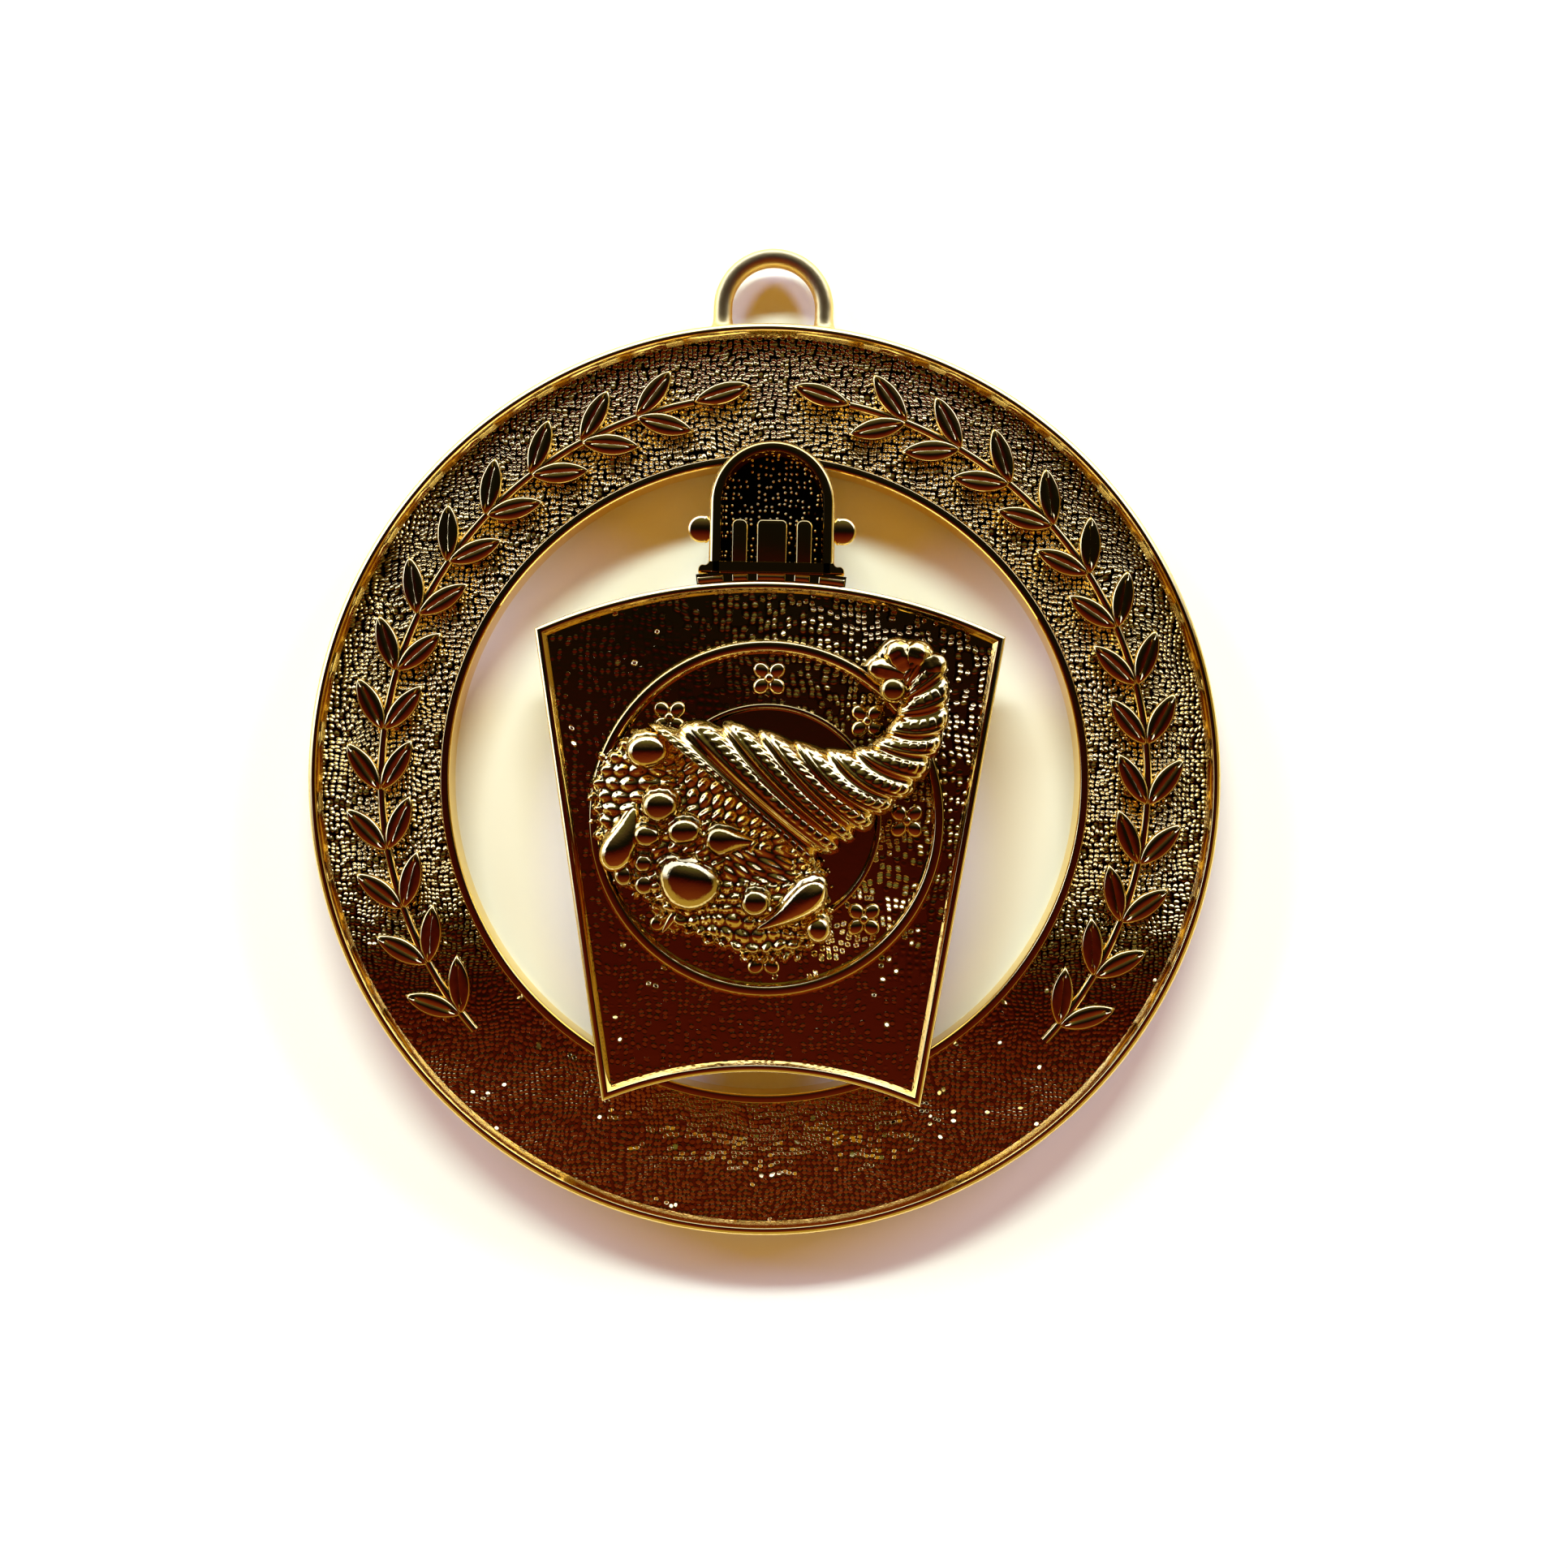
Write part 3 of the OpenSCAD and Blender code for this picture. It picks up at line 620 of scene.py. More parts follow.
def foot():
    """The foot of the lewis, over a strip of flat bars along the arched edge."""
    half = FOOT_W / 2
    foot_side = half - 0.1
    step_y = ARCH_Y + STRIP_W
    head_y = ARCH_Y + FOOT_H
    corner = 0.5
    flare = 0.35
    flare_sunk = 0.05
    side = arc((foot_side - corner, head_y - corner), corner, 0, 70, 6)
    neck = arc((SHACKLE_R + flare, head_y + flare - flare_sunk), flare, -100, -180, 6)
    right = [(foot_side, step_y)] + side + neck
    outline = right + [(-x, y) for x, y in reversed(right)]
    top = slab(outline, PLAQUE_Z, BORDER_Z - 0.16, [(0.06, 0.13)])
    strip = slab(strip_outline(-half, half, -0.3, STRIP_W + 0.2), PLAQUE_Z, STRIP_Z)
    bars = [slab(strip_outline(start, end, 0.08, STRIP_W - 0.1), STRIP_Z - SUNK, STRIP_Z + 0.08,
                 [(0.13, 0.1)]) for start, end in STRIP_BARS]
    return join(top, strip, *bars)


def pin_end(side):
    """One end of the lewis pin: rod, collar and domed end."""
    dome_x = PIN_HALF - PIN_R
    rod_r = 0.9
    rod_start = SHACKLE_R - 0.6
    collar_start = SHACKLE_R + 0.1
    collar_end = SHACKLE_R + 0.5
    bevel = 0.12
    lift = 0.45
    flatness = 0.42
    dome = [(PIN_R * math.cos(a), dome_x + PIN_R * math.sin(a)) for a in
            (math.pi / 2 * k / 10 for k in range(-6, 11))]
    shape = turned([(0, rod_start), (rod_r, rod_start), (rod_r, collar_start),
                    (PIN_R - bevel, collar_start), (PIN_R, collar_start + bevel),
                    (PIN_R, collar_end - bevel), (PIN_R - bevel, collar_end),
                    (rod_r, collar_end), *dome], 32, closed=False)
    flattened = Matrix.Diagonal((1, 1, flatness, 1))
    shape.transform(move(0, PIN_Y, PIN_Z + lift) @ flattened @ turn(side * 90, "Y"))
    return shape


def plaque():
    front = join(keystone(), circles())
    lewis = join(shackle(), foot(), *(leg(x, width) for x, width in LEGS), pin_end(-1), pin_end(1))
    for shape in (front, lewis):
        shape.transform(move(PLAQUE_X, 0))
    finish(front, "keystone", [polished, plaque_linen], "plaque_gilt", "keystone_plaque")
    finish(lewis, "lewis", [polished, stippled], "plaque_gilt")


# Horn of plenty

def along(column, t):
    """A value of the rib table at a place along the horn, on a smooth curve through the rows."""
    row = max(0, min(len(RIBS) - 2, math.floor(t)))
    f = t - row
    before, here, after, last = (RIBS[max(0, min(len(RIBS) - 1, row + k))][column]
                                 for k in (-1, 0, 1, 2))
    return here + f * ((after - before) / 2 + f * (before - 2.5 * here + 2 * after - last / 2
                       + f * (1.5 * here - before / 2 - 1.5 * after + last / 2)))


def horn_place(t, u):
    """A point of the horn: t runs along it from rib to rib, and u, from 0 to 1, over it."""
    tooth_depth = 0.035
    strand_depth = 0.016
    scarp_depth = 0.045
    lean = 0.02
    fullness = 0.6
    start = Vector((along(0, t), along(1, t)))
    middle = Vector((along(2, t), along(3, t)))
    end = Vector((along(4, t), along(5, t)))
    bend = 2 * middle - (start + end) / 2
    v = (1 - math.cos(math.pi * u)) / 2
    flat = (1 - v) ** 2 * start + 2 * v * (1 - v) * bend + v ** 2 * end
    across = t - math.floor(t + 0.5)
    ridge = abs(math.cos(math.pi * t)) ** 0.36
    teeth = (start - end).length * EMBLEM_R / 0.8
    tooth = abs(math.sin(math.pi * (teeth * v + 1.5 * across + 0.37 * round(t)))) ** 0.7
    strand = math.cos(math.tau * 4 * across)
    flank = math.exp(-((across - 0.05) / 0.14) ** 2)
    scarp = max(0, min(1, (across - 0.10 - 0.13 * tooth) / 0.10))
    inside = math.sqrt(math.sin(math.pi * u)) if 0 < u < 1 else 0
    swell = 1 - RIB_DEPTH * (1 - ridge) + inside * (
        tooth_depth * flank * (tooth - 1) + strand_depth * (1 - flank) * (strand - 1) - lean * across
        - scarp_depth * scarp * scarp * (3 - 2 * scarp))
    centre = (start + end) / 2
    place = (centre + (flat - centre) * swell) * EMBLEM_R
    over = math.sin(math.pi * u) ** fullness if 0 < u < 1 else 0
    return place.x, place.y, over * along(6, t) * HORN_H * swell


def horn():
    """The ribbed horn, from its mouth to its curled tip, closed underneath."""
    steps = 22
    first = -MOUTH_LIP
    last = len(RIBS) - 1 + MOUTH_LIP
    shape = bmesh.new()
    bmesh.ops.create_grid(shape, x_segments=round((last - first) * steps), y_segments=110, size=1)
    sides = [edge for edge in shape.edges
             if all(abs(corner.co.y) > 0.999 for corner in edge.verts) and edge.is_boundary]
    bmesh.ops.bridge_loops(shape, edges=sides)
    bmesh.ops.holes_fill(shape, edges=[edge for edge in shape.edges if edge.is_boundary], sides=0)
    for corner in shape.verts:
        t = first + (last - first) * (corner.co.x + 1) / 2
        corner.co = horn_place(t, (corner.co.y + 1) / 2)
    bmesh.ops.recalc_face_normals(shape, faces=shape.faces)
    return shape


def swollen(start, end, bend, height, half_w, taper, flutes, creases=0):
    """A fruit or lobe along a bent line from start to end, drawn in towards its end."""
    start, end = Vector((*start, height)), Vector((*end, height * (1 - 0.5 * taper)))
    line = end - start
    sideways = Vector((-line.y, line.x, 0)).normalized()
    middle = (start + end) / 2 + sideways * bend
    pull = 2 * middle - (start + end) / 2
    shape = bmesh.new()
    bmesh.ops.create_uvsphere(shape, u_segments=28, v_segments=20, radius=1)
    for corner in shape.verts:
        s = max(0, min(1, (1 - corner.co.z) / 2))
        girth = math.hypot(corner.co.x, corner.co.y)
        angle = math.atan2(corner.co.y, corner.co.x)
        neck = 1 - taper * (s * s * (3 - 2 * s))
        flute = 1 - (0.09 * (1 - abs(math.cos(flutes * angle / 2)) ** 0.7) if flutes else 0)
        crease = 1 - (0.16 * (1 - abs(math.cos(math.pi * creases * s)) ** 0.6) if creases else 0)
        place = (1 - s) ** 2 * start + 2 * s * (1 - s) * pull + s * s * end
        heading = (2 * (1 - s) * (pull - start)
                   + 2 * s * (end - 2 * middle + (start + end) / 2)).normalized()
        side = Vector((-heading.y, heading.x, 0)).normalized()
        up = heading.cross(side)
        reach = half_w * girth * neck * flute * crease
        corner.co = place + reach * (math.cos(angle) * side + FLATNESS * math.sin(angle) * up)
    bmesh.ops.recalc_face_normals(shape, faces=shape.faces)
    return shape


def inside_depth(x, y):
    """How far a point lies inside the backing's outline, in millimetres; below 0 outside it."""
    inside = False
    nearest = 100.0
    for (x0, y0), (x1, y1) in zip(BACKING, BACKING[1:] + BACKING[:1]):
        x0, y0, x1, y1 = x0 * EMBLEM_R, y0 * EMBLEM_R, x1 * EMBLEM_R, y1 * EMBLEM_R
        if (y0 > y) != (y1 > y) and x < x0 + (x1 - x0) * (y - y0) / (y1 - y0):
            inside = not inside
        run = ((x - x0) * (x1 - x0) + (y - y0) * (y1 - y0)) / ((x1 - x0) ** 2 + (y1 - y0) ** 2)
        run = max(0, min(1, run))
        nearest = min(nearest, math.hypot(x - x0 - run * (x1 - x0), y - y0 - run * (y1 - y0)))
    return nearest if inside else -nearest


def domes(x, y, pitch_x, pitch_y):
    """Height of staggered rows of touching domes at a place, as a share of the highest."""
    row = math.floor(y / pitch_y)
    across = x / pitch_x + 0.5 * (row % 2)
    off_middle = 2 * math.hypot(across - math.floor(across) - 0.5, y / pitch_y - row - 0.5)
    return 1 - min(1, off_middle) ** 1.35


def bed_height(x, y):
    """Height of the bed of corn, grapes and ears under the fruit."""
    depth = inside_depth(x, y)
    if depth < -0.5:
        return 0
    drift = noise.noise_vector(Vector((x, y, 0)) * 0.35) * 0.5
    u, v = x + drift.x, y + drift.y
    mound = 1.25 * math.exp(-((x + 4.5) ** 2 + (y + 2.5) ** 2) / 60)
    if -5.4 < v < -2.8 and -3.8 < u < 2.2:
        # An ear of long grains that lies askew
        grain = 0.75 * domes(u * 0.9 - v * 0.42, v * 0.9 + u * 0.42, 2.1, 0.75)
    elif v < -5.0 or v < -2.8 and u > -3:
        # Grapes
        grain = domes(u, v, 1.25, 1.05)
    elif u < -7.5:
        # Berries
        grain = domes(u, v, 1.55, 1.1)
    else:
        # Ears of corn that slant up to the horn's mouth
        grain = 0.85 * domes(u * 0.77 + v * 0.64, v * 0.77 - u * 0.64, 1.5, 0.85)
    depth += 0.8 * (grain - 0.5)
    if depth < 0:
        return 0
    return min(1, depth / 0.8) ** 0.5 * (0.45 + mound + 0.40 * grain)


def bed():
    """The bed under the fruit: a sheet of small domes and ears, cut to the backing's outline."""
    shape = bmesh.new()
    bmesh.ops.create_grid(shape, x_segments=round(BED_SIZE.x / BED_STEP),
                          y_segments=round(BED_SIZE.y / BED_STEP), size=0.5)
    for corner in shape.verts:
        x = BED_LOW.x + BED_SIZE.x * (corner.co.x + 0.5)
        y = BED_LOW.y + BED_SIZE.y * (corner.co.y + 0.5)
        corner.co = (x, y, bed_height(x, y))
    outside = [face for face in shape.faces if all(corner.co.z == 0 for corner in face.verts)]
    bmesh.ops.delete(shape, geom=outside, context="FACES")
    return close_below(shape, -0.02)


def lobes():
    """The fluted lobes round the curl of the horn."""
    return [swollen(CURL, (x, y), 0, height, half_w, -0.35, 7, creases=4)
            for x, y, half_w, height in LOBES]


def settled(shape):
    """A shape with all that would sink below the back made flat there, lifted onto the plaque."""
    for corner in shape.verts:
        corner.co.z = max(corner.co.z, 0)
    shape.transform(move(PLAQUE_X, CIRCLE_Y, EMBLEM_Z))
    return shape


def cornucopia():
    noise.seed_set(7)
    fruit = [swollen((x0, y0), (x1, y1), *shape) for x0, y0, x1, y1, *shape in FRUIT]
    caps = [swollen((x0, y0 + CAP_RISE), (x1, y1 + CAP_RISE), bend, height - 0.35, half_w, taper, 7,
                    creases=4)
            for x0, y0, x1, y1, bend, height, half_w, taper, _ in FRUIT]
    stalk = swollen((-7.5, -8.0), (-8.7, -9.9), 0, 1.0, 0.42, 0.5, 0)
    curl_ball = swollen((9.4, 11.2), (11.8, 11.1), 0, 1.35, 1.2, 0.1, 0)
    finish(settled(join(horn(), *lobes(), curl_ball)), "horn", [cast], "emblem_gilt", "cornucopia")
    finish(settled(join(*fruit, *caps, stalk)), "fruit", [cast], "emblem_gilt")
    finish(settled(bed()), "grapes_and_corn", [cast], "emblem_gilt")


# Finishes

DEEP_GOLD = (0.96, 0.70, 0.20, 1)
PALE_GOLD = (1.0, 0.76, 0.26, 1)
# Painted shade: the deep brown that valleys, the gaps of the linen and the stippled ground are darkened
# towards
PAINTED_SHADE_BROWN = (0.025, 0.009, 0.003, 1)


class Value:
    """A socket of a node tree. Python's operators on it add Math nodes."""

    def __init__(self, tree, socket):
        self.tree = tree
        self.socket = socket

    def maths(self, operation, *values):
        return self.tree.node("ShaderNodeMath", {"operation": operation},
                              dict(enumerate((self, *values))))

    def __add__(self, other):
        return self.maths("ADD", other)

    __radd__ = __add__

    def __mul__(self, other):
        return self.maths("MULTIPLY", other)

    __rmul__ = __mul__

    def __sub__(self, other):
        return self.maths("SUBTRACT", other)

    def __rsub__(self, other):
        return self.tree.node("ShaderNodeMath", {"operation": "SUBTRACT"}, {0: other, 1: self})

    def __truediv__(self, other):
        return self.maths("DIVIDE", other)

    def other(self, output):
        """Another output of the node that this one comes from."""
        return Value(self.tree, self.socket.node.outputs[output])

    def between(self, low, high):
        """0 below low and 1 above high, with a smooth step between them."""
        return self.tree.node("ShaderNodeMapRange", {"interpolation_type": "SMOOTHSTEP"},
                              {"Value": self, "From Min": low, "From Max": high})


class Tree:
    """A node tree, and the one way in which its nodes are added."""

    def __init__(self, owner):
        owner.use_nodes = True
        self.nodes = owner.node_tree.nodes
        self.links = owner.node_tree.links
        self.nodes.clear()

    def node(self, kind, settings=None, inputs=None, output=0):
        """Adds a node with its settings, its sockets' values or links, and returns one output."""
        made = self.nodes.new(kind)
        for name, setting in (settings or {}).items():
            if name == "stops":
                for stop in made.color_ramp.elements[1:]:
                    made.color_ramp.elements.remove(stop)
                for k, (place, colour) in enumerate(setting):
                    stop = made.color_ramp.elements[0] if k == 0 else made.color_ramp.elements.new(place)
                    stop.position = place
                    stop.color = (*colour, 1)
            else:
                setattr(made, name, setting)
        for key, value in (inputs or {}).items():
            if isinstance(value, Value):
                self.links.new(value.socket, made.inputs[key])
            else:
                made.inputs[key].default_value = value
        return Value(self, made.outputs[output]) if made.outputs else None

    def mix(self, share, one, other):
        """A colour between two, by share."""
        return self.node("ShaderNodeMix", {"data_type": "RGBA"}, {0: share, 6: one, 7: other}, output=2)

    def noise(self, where, scale, detail=2.0, output="Fac"):
        return self.node("ShaderNodeTexNoise", {}, {"Vector": where, "Scale": scale, "Detail": detail},
                         output=output)

    def split(self, where):
        """The three parts of a vector."""
        return [self.node("ShaderNodeSeparateXYZ", {}, {0: where}, output=k) for k in range(3)]


def in_mm(tree):
    """The place on the piece, in millimetres."""
    place = tree.node("ShaderNodeTexCoord", output="Object")
    return tree.node("ShaderNodeVectorMath", {"operation": "SCALE"}, {0: place, "Scale": 1 / MM})


def linen(pitch, core, dome, lean, picked, towards, reach, dim_share, dark, back, patch):
    """A linen imprint: wavy rows of small bumps that lean towards the top of the jewel, with painted
    shade in the gaps.

    pitch: how far the bumps stand apart across and along the rows, in millimetres
    core: where each bump's flank starts and ends, as shares of the pitch
    dome, lean: their height and their slant, in millimetres over one bump
    picked: the shares of the bumps between which they grow from none to full height
    towards, reach: the side of the jewel where they stand highest, with deeper painted shade in their
    gaps, so that it sparkles as if more strongly lit, and from how far to how far that way they grow
    from low to full
    worn: the share of their height left on the other side
    dark: how dark the painted shade in the gaps is
    back: how far they lean the other way on the side where they stand lower
    patch: middle x, y, half width and half height of a place there where single bumps stand in rows
    """
    drift_scale = 0.22
    drift_mm = 1.6
    unevenness = 0.5
    dome_edge = 0.58
    row_stretch = 0.12
    row_scale = 0.8
    scatter = 0.35
    singles = (0.61, 0.62)
    single_lean = 1.25

    def relief(tree, place):
        # Rows that wander a little
        drift = tree.noise(place, drift_scale, 1.0, "Color")
        drift = tree.node("ShaderNodeVectorMath", {"operation": "SCALE"}, {0: drift, "Scale": drift_mm})
        where = tree.node("ShaderNodeVectorMath", {"operation": "ADD"}, {0: place, 1: drift})
        x, y, _ = tree.split(where)

        # A cell for each bump, with its middle and a random share of its own
        row = y * (1 / pitch[1])
        cell = tree.node("ShaderNodeCombineXYZ", {}, {0: x * (1 / pitch[0]), 1: row, 2: 0.0})
        apart = tree.node("ShaderNodeTexVoronoi", {"voronoi_dimensions": "2D"},
                          {"Vector": cell, "Scale": 1.0, "Randomness": unevenness}, output="Distance")
        column, line, _ = tree.split(apart.other("Position"))
        off_middle = row - line
        pick = tree.split(apart.other("Color"))[0]

        # Painted light: on one side of the jewel the bumps stand higher, with deeper painted shade in
        # their gaps, so that side sparkles as if more strongly lit; on the other side they stand lower
        to_right, to_top, _ = tree.split(place)
        bright_side = (to_right * towards[0] + to_top * towards[1]).between(*reach)

        # Single bumps in broken rows on the patch where the bumps stand lower
        aside = (column * pitch[0] - patch[0]) * (1 / patch[2])
        above = (line * pitch[1] - patch[1]) * (1 / patch[3])
        away = (aside * aside + above * above).between(0.0, 2.0)
        stretched = tree.node("ShaderNodeCombineXYZ", {}, {0: column * row_stretch, 1: line, 2: 0.0})
        rows = tree.noise(stretched, row_scale, 1.0)
        single = (rows + pick * scatter - away * scatter).between(*singles) * (1 - bright_side)

        grown = pick.between(*picked)
        strength = grown * (bright_side * (1 - dim_share) + dim_share) * (1 - single)
        slant = grown * (bright_side * (1 + back) - back) * (1 - single) + single * single_lean
        # Painted shade in the gaps between the bumps, deeper where the bumps stand higher; the bumps'
        # slant stops there
        gap = apart.between(*core)
        raised = (1 - apart.between(0.0, dome_edge)) * strength * dome
        return raised - off_middle * (1 - gap) * slant * lean, gap * strength * dark
    return relief


def stipple(tree, place):
    """Small round punch marks, raised on a smooth sunk ground that is painted dark as shade."""
    dots = tree.node("ShaderNodeTexVoronoi", {"voronoi_dimensions": "2D"},
                     {"Vector": place, "Scale": 1.8, "Randomness": 0.6})
    height = 0.075
    struck = tree.split(dots.other("Color"))[0].between(0.2, 0.3)
    # Painted shade: the ground round the struck marks is painted near black
    ground = 1 - (1 - dots.between(0.14, 0.27)) * struck
    return (1 - dots.between(0.0, 0.22)) * struck * height, ground


def hollows(tree, place):
    """A faint grain, and painted shade in the valleys between the raised parts of a casting."""
    grain = 0.01
    convexity = tree.node("ShaderNodeNewGeometry", output="Pointiness")
    # Painted shade: the less convex a place, the darker it is painted
    return tree.noise(place, 3.0, 2.0) * grain, 1 - convexity.between(0.42, 0.50)


def gilt(name, relief=None, roughness=0.08, ripple=0.010, ripple_scale=0.7):
    """Polished gilding: warm gold with faint clouds and smears, over a surface that ripples a little; a
    relief adds its bumps and its painted shade.
    """
    material = bpy.data.materials.new(name)
    tree = Tree(material)
    place = in_mm(tree)
    clouds = tree.noise(place, 0.12, 3.0)
    smear = tree.noise(place, 0.9, 4.0)
    colour = tree.mix(clouds.between(0.3, 0.7), DEEP_GOLD, PALE_GOLD)
    height = tree.noise(place, ripple_scale, 2.0) * ripple + tree.noise(place, 6.0, 2.0) * (0.1 * ripple)
    if relief:
        raised, painted_shade = relief(tree, place)
        height = height + raised
        # Painted shade: the relief's share of shade darkens the gold towards a deep brown
        colour = tree.mix(painted_shade * 0.95, colour, PAINTED_SHADE_BROWN)
    bump = tree.node("ShaderNodeBump", {}, {"Strength": 1.0, "Distance": MM, "Height": height})
    smeared = smear * 0.08 + (roughness - 0.04)
    shader = tree.node("ShaderNodeBsdfPrincipled", {}, {
        "Base Color": colour, "Metallic": 1.0, "Roughness": smeared, "Normal": bump})
    tree.node("ShaderNodeOutputMaterial", {}, {"Surface": shader})
    return material


polished = gilt("polished_gilt")
ring_linen = gilt("ring_linen", relief=linen(
    pitch=(0.47, 0.44), core=(0.33, 0.54), dome=0.085, lean=0.37, picked=(-0.3, 0.5), towards=(0, 1),
    reach=(-31, -6), dim_share=0.2, dark=1.8, back=0.28, patch=(2.0, -32.5, 13.0, 4.5)))
plaque_linen = gilt("plaque_linen", relief=linen(
    pitch=(0.64, 0.58), core=(0.22, 0.44), dome=0.06, lean=0.44, picked=(0.25, 0.5), towards=(1.2, 1),
    reach=(-14, 26), dim_share=0.12, dark=0.9, back=0.2, patch=(8.0, -10.0, 9.0, 9.0)))
stippled = gilt("stippled_gilt", relief=stipple)
cast = gilt("cast_gilt", relief=hollows, ripple=0.02, ripple_scale=0.9)
drawn = gilt("drawn_wire_gilt", roughness=0.38, ripple=0.03, ripple_scale=1.2)
brass = gilt("pin_brass", roughness=0.25)


# Light and stage

GOLD_GLOW = (0.46, 0.34, 0.10, 1)
BRIGHT_BAND = (2.1, 2.5, 5.2, 1)
FLOOR_GLOW = (0.8, 0.78, 0.7, 1)
STAGE_WHITE = (1.0, 0.99, 0.97, 1)
# The hood's colours from the foot of the picture to its top
HOOD = (
    (0.00, (0.19, 0.050, 0.018)), (0.10, (0.17, 0.036, 0.012)), (0.21, (0.13, 0.021, 0.007)),
    (0.34, (0.092, 0.012, 0.005)), (0.41, (0.062, 0.006, 0.003)), (0.46, (0.040, 0.004, 0.003)),
    (0.50, (0.020, 0.003, 0.002)), (0.55, (0.006, 0.004, 0.002)), (0.60, (0.005, 0.005, 0.004)),
    (0.66, (0.012, 0.010, 0.007)), (0.77, (0.055, 0.042, 0.028)), (0.88, (0.11, 0.11, 0.05)),
    (1.00, (0.18, 0.20, 0.06)),
)
# In metres: how far the lamps stand, where the floor starts and ends turning white, the floor's radius
# and the backdrop's
LAMP_DISTANCE = 1.1
WHITENING = (0.18, 0.6)
FLOOR_R = 3
BACKDROP_R = 3.1


def studio_light():
    """What the metal mirrors.

    A dark red hood overhead, gold low down all round with a bright band towards the top of the jewel,
    and a pale glow from below.
    """
    world = bpy.data.worlds.new("studio")
    bpy.context.scene.world = world
    tree = Tree(world)
    place = tree.node("ShaderNodeTexCoord", output="Generated")
    x, y, z = tree.split(place)
    lean = (1 - z * z).maths("MAXIMUM", 0).maths("SQRT")
    side = (y - x * 0.25) / (lean + 0.001)
    hood = tree.node("ShaderNodeValToRGB", {"stops": HOOD}, {"Fac": y * 0.5 + 0.5})
    gold = lean.between(0.90, 0.97) * (1 - side.between(-0.6, 0.1) * 0.45)
    warm = tree.mix(gold, hood, GOLD_GLOW)
    white = lean.between(0.88, 0.935) * side.between(0.05, 0.5)
    sky = tree.mix(white, warm, BRIGHT_BAND)
    all_round = tree.mix(z.between(-0.2, 0.0), FLOOR_GLOW, sky)
    background = tree.node("ShaderNodeBackground", {}, {"Color": all_round, "Strength": 1.0})
    tree.node("ShaderNodeOutputWorld", {}, {"Surface": background})
    # The metal alone mirrors the hood; the floor gets its light from the lamps
    world.cycles_visibility.diffuse = False


def lamp(name, size, energy, colour, azimuth, rise):
    """A soft lamp a little over a metre away, which faces the jewel and isn't mirrored in it.

    azimuth is the way that it lies from the jewel, in degrees from the foot of the picture, and rise its
    height over the floor, in degrees.
    """
    light = bpy.data.lights.new(name, "AREA")
    light.shape = "RECTANGLE"
    light.size, light.size_y = size
    light.energy = energy
    light.color = colour
    holder = bpy.data.objects.new(name, light)
    holder.matrix_world = turn(azimuth) @ turn(90 - rise, "X") @ move(0, 0, LAMP_DISTANCE)
    holder.visible_glossy = False
    holder.visible_camera = False
    bpy.context.scene.collection.objects.link(holder)


def lamps():
    """A window beyond the top, bluish light at both sides, and warm light at the foot and overhead."""
    lamp("window", (0.8, 0.085), 22.5, (0.84, 1.0, 0.84), 186, 27)
    lamp("left", (0.6, 0.1), 14.0, (0.52, 0.60, 1.0), 235, 16)
    lamp("right", (0.6, 0.1), 14.0, (0.52, 0.60, 1.0), 125, 16)
    lamp("low", (0.9, 0.1), 4.5, (1.0, 0.86, 0.55), 0, 17)
    lamp("overhead", (2.0, 2.0), 7.5, (1.0, 0.42, 0.01), 0, 90)


def stage_piece(name, shape, material):
    """A part of the stage that the jewel lies on."""
    mesh = bpy.data.meshes.new(name)
    shape.to_mesh(mesh)
    shape.free()
    mesh.materials.append(material)
    piece = bpy.data.objects.new(name, mesh)
    bpy.context.scene.collection.objects.link(piece)
    return piece


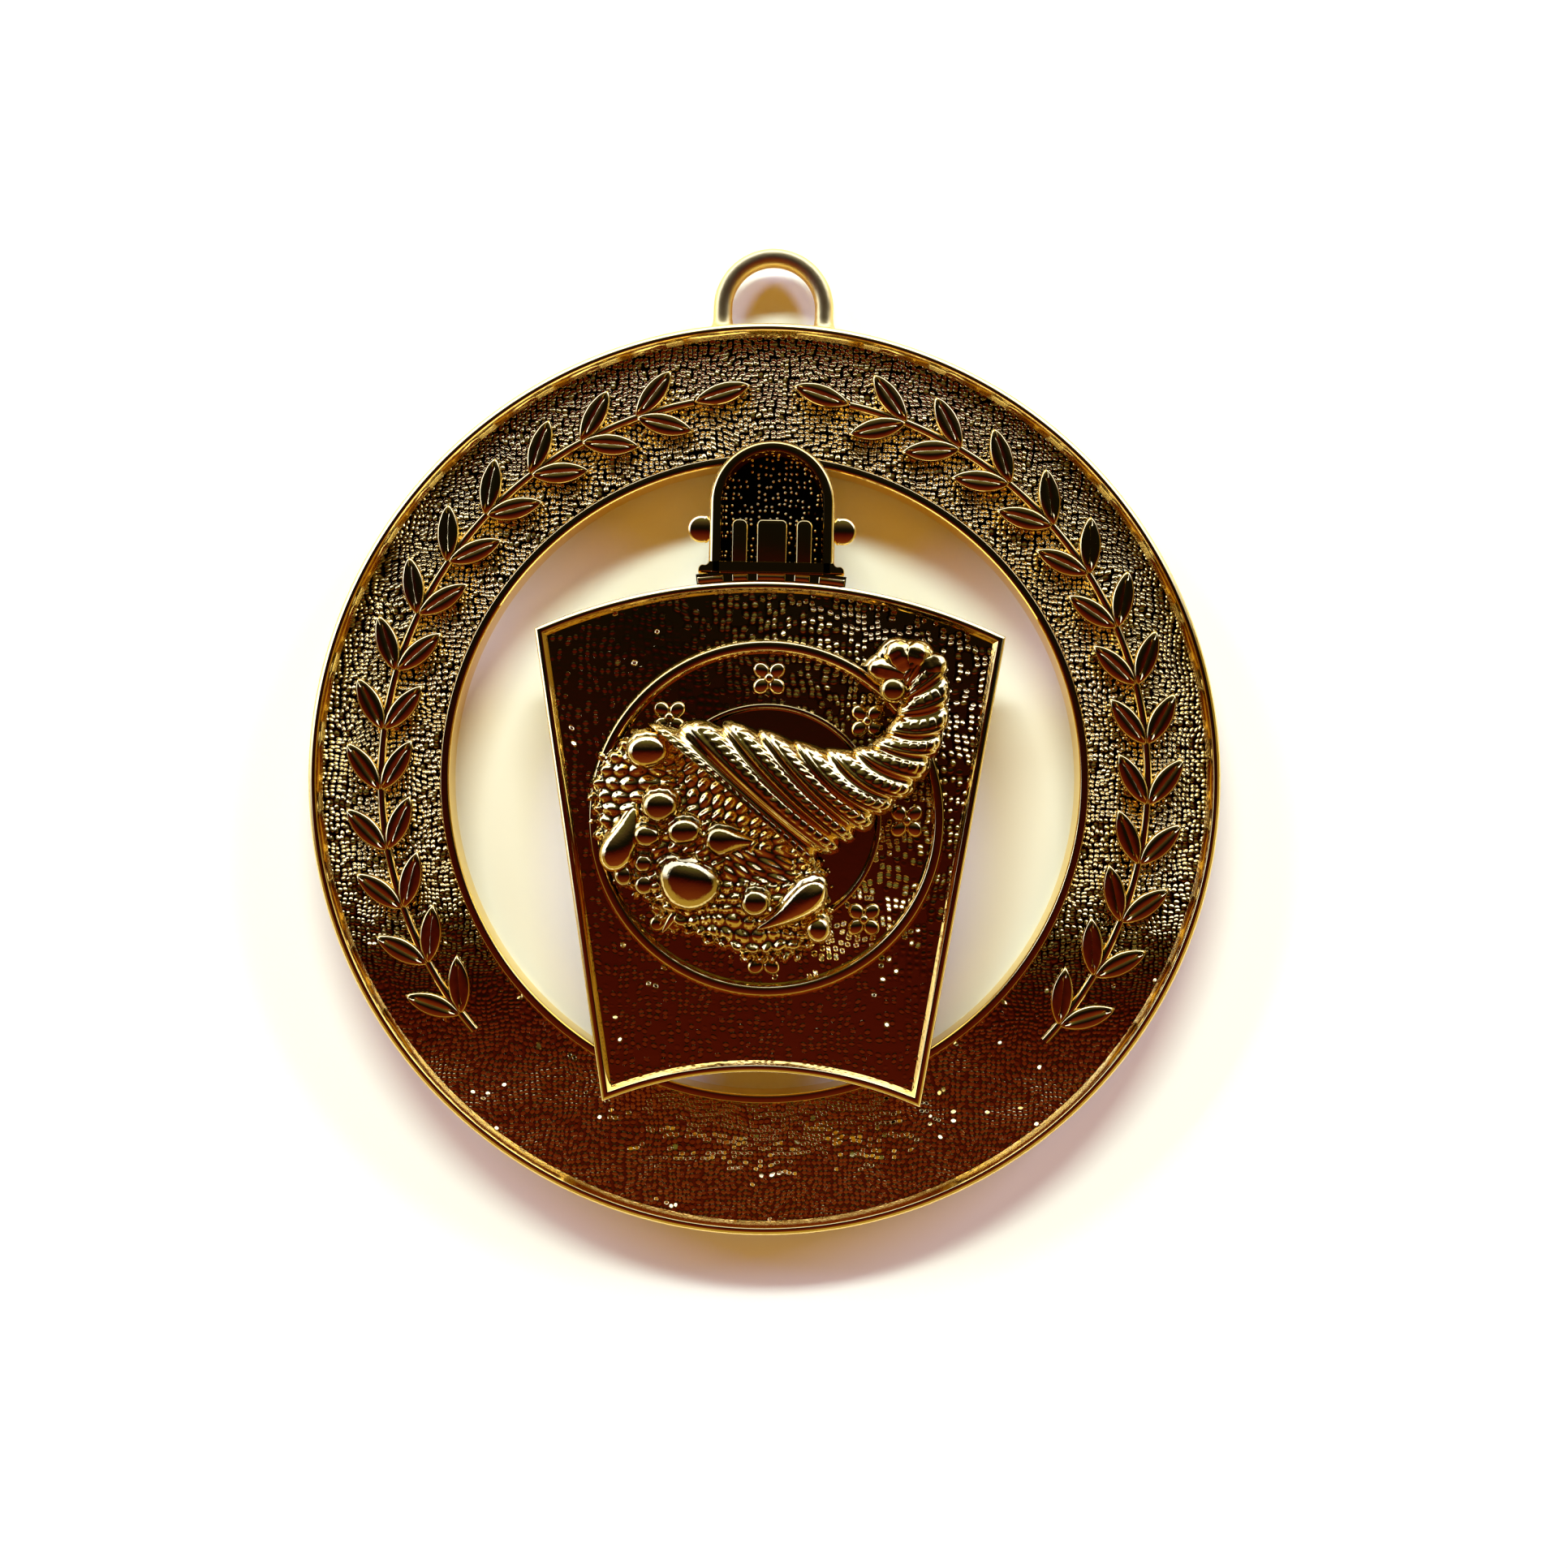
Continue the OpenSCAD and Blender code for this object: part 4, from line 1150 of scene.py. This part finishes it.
def floor():
    """The plain pale floor that the jewel lies on, which glows white far from it."""
    material = bpy.data.materials.new("pale_floor")
    tree = Tree(material)
    place = tree.node("ShaderNodeTexCoord", output="Object")
    tone = tree.noise(place, 6.0, 3.0)
    colour = tree.mix(tone, (0.90, 0.89, 0.875, 1), (0.92, 0.91, 0.895, 1))
    matt = tree.node("ShaderNodeBsdfPrincipled", {}, {"Base Color": colour, "Roughness": 0.9,
                                                     "Specular IOR Level": 0.0})
    glow = tree.node("ShaderNodeEmission", {}, {"Color": STAGE_WHITE, "Strength": 1.0})
    away = tree.node("ShaderNodeVectorMath", {"operation": "LENGTH"}, {0: place}, output="Value")
    shader = tree.node("ShaderNodeMixShader", {}, {0: away.between(*WHITENING), 1: matt, 2: glow})
    tree.node("ShaderNodeOutputMaterial", {}, {"Surface": shader})
    shape = bmesh.new()
    bmesh.ops.create_circle(shape, cap_ends=True, segments=96, radius=FLOOR_R)
    stage_piece("floor", shape, material)


def backdrop():
    """A white dome round the stage, which only the camera sees."""
    material = bpy.data.materials.new("white_backdrop")
    tree = Tree(material)
    glow = tree.node("ShaderNodeEmission", {}, {"Color": STAGE_WHITE, "Strength": 1.0})
    tree.node("ShaderNodeOutputMaterial", {}, {"Surface": glow})
    shape = bmesh.new()
    bmesh.ops.create_uvsphere(shape, u_segments=48, v_segments=24, radius=BACKDROP_R)
    dome = stage_piece("backdrop", shape, material)
    for ray in ("diffuse", "glossy", "transmission", "volume_scatter", "shadow"):
        setattr(dome, "visible_" + ray, False)


def camera():
    """The camera straight above the jewel, rolled a little."""
    lens = bpy.data.cameras.new("camera")
    lens.sensor_width = 36.0
    lens.lens = LENS
    lens.clip_start = 0.01
    distance = FRAME_PX * LENS / lens.sensor_width / FACE_PX
    aside = Vector((FRAME_PX / 2 - RING_PX.x, RING_PX.y - FRAME_PX / 2, 0)) / FACE_PX
    target = CENTRE + turn(ROLL) @ aside + Vector((0, 0, BAND_T))
    eye = bpy.data.objects.new("camera", lens)
    eye.matrix_world = (Matrix.Translation(target * MM) @ turn(ROLL)
                        @ Matrix.Translation((0, 0, distance * MM)))
    bpy.context.scene.collection.objects.link(eye)
    bpy.context.scene.camera = eye


def hidden_pins():
    """The rivets and posts keep their CAD solids, in plain brass."""
    for name in ("rivet_left", "rivet_right", "post_left", "post_right"):
        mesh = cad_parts[name].data
        mesh.materials.clear()
        mesh.materials.append(brass)


ring()
plaque()
cornucopia()
hidden_pins()
studio_light()
lamps()
floor()
backdrop()
camera()
bpy.context.scene.view_settings.view_transform = "Standard"
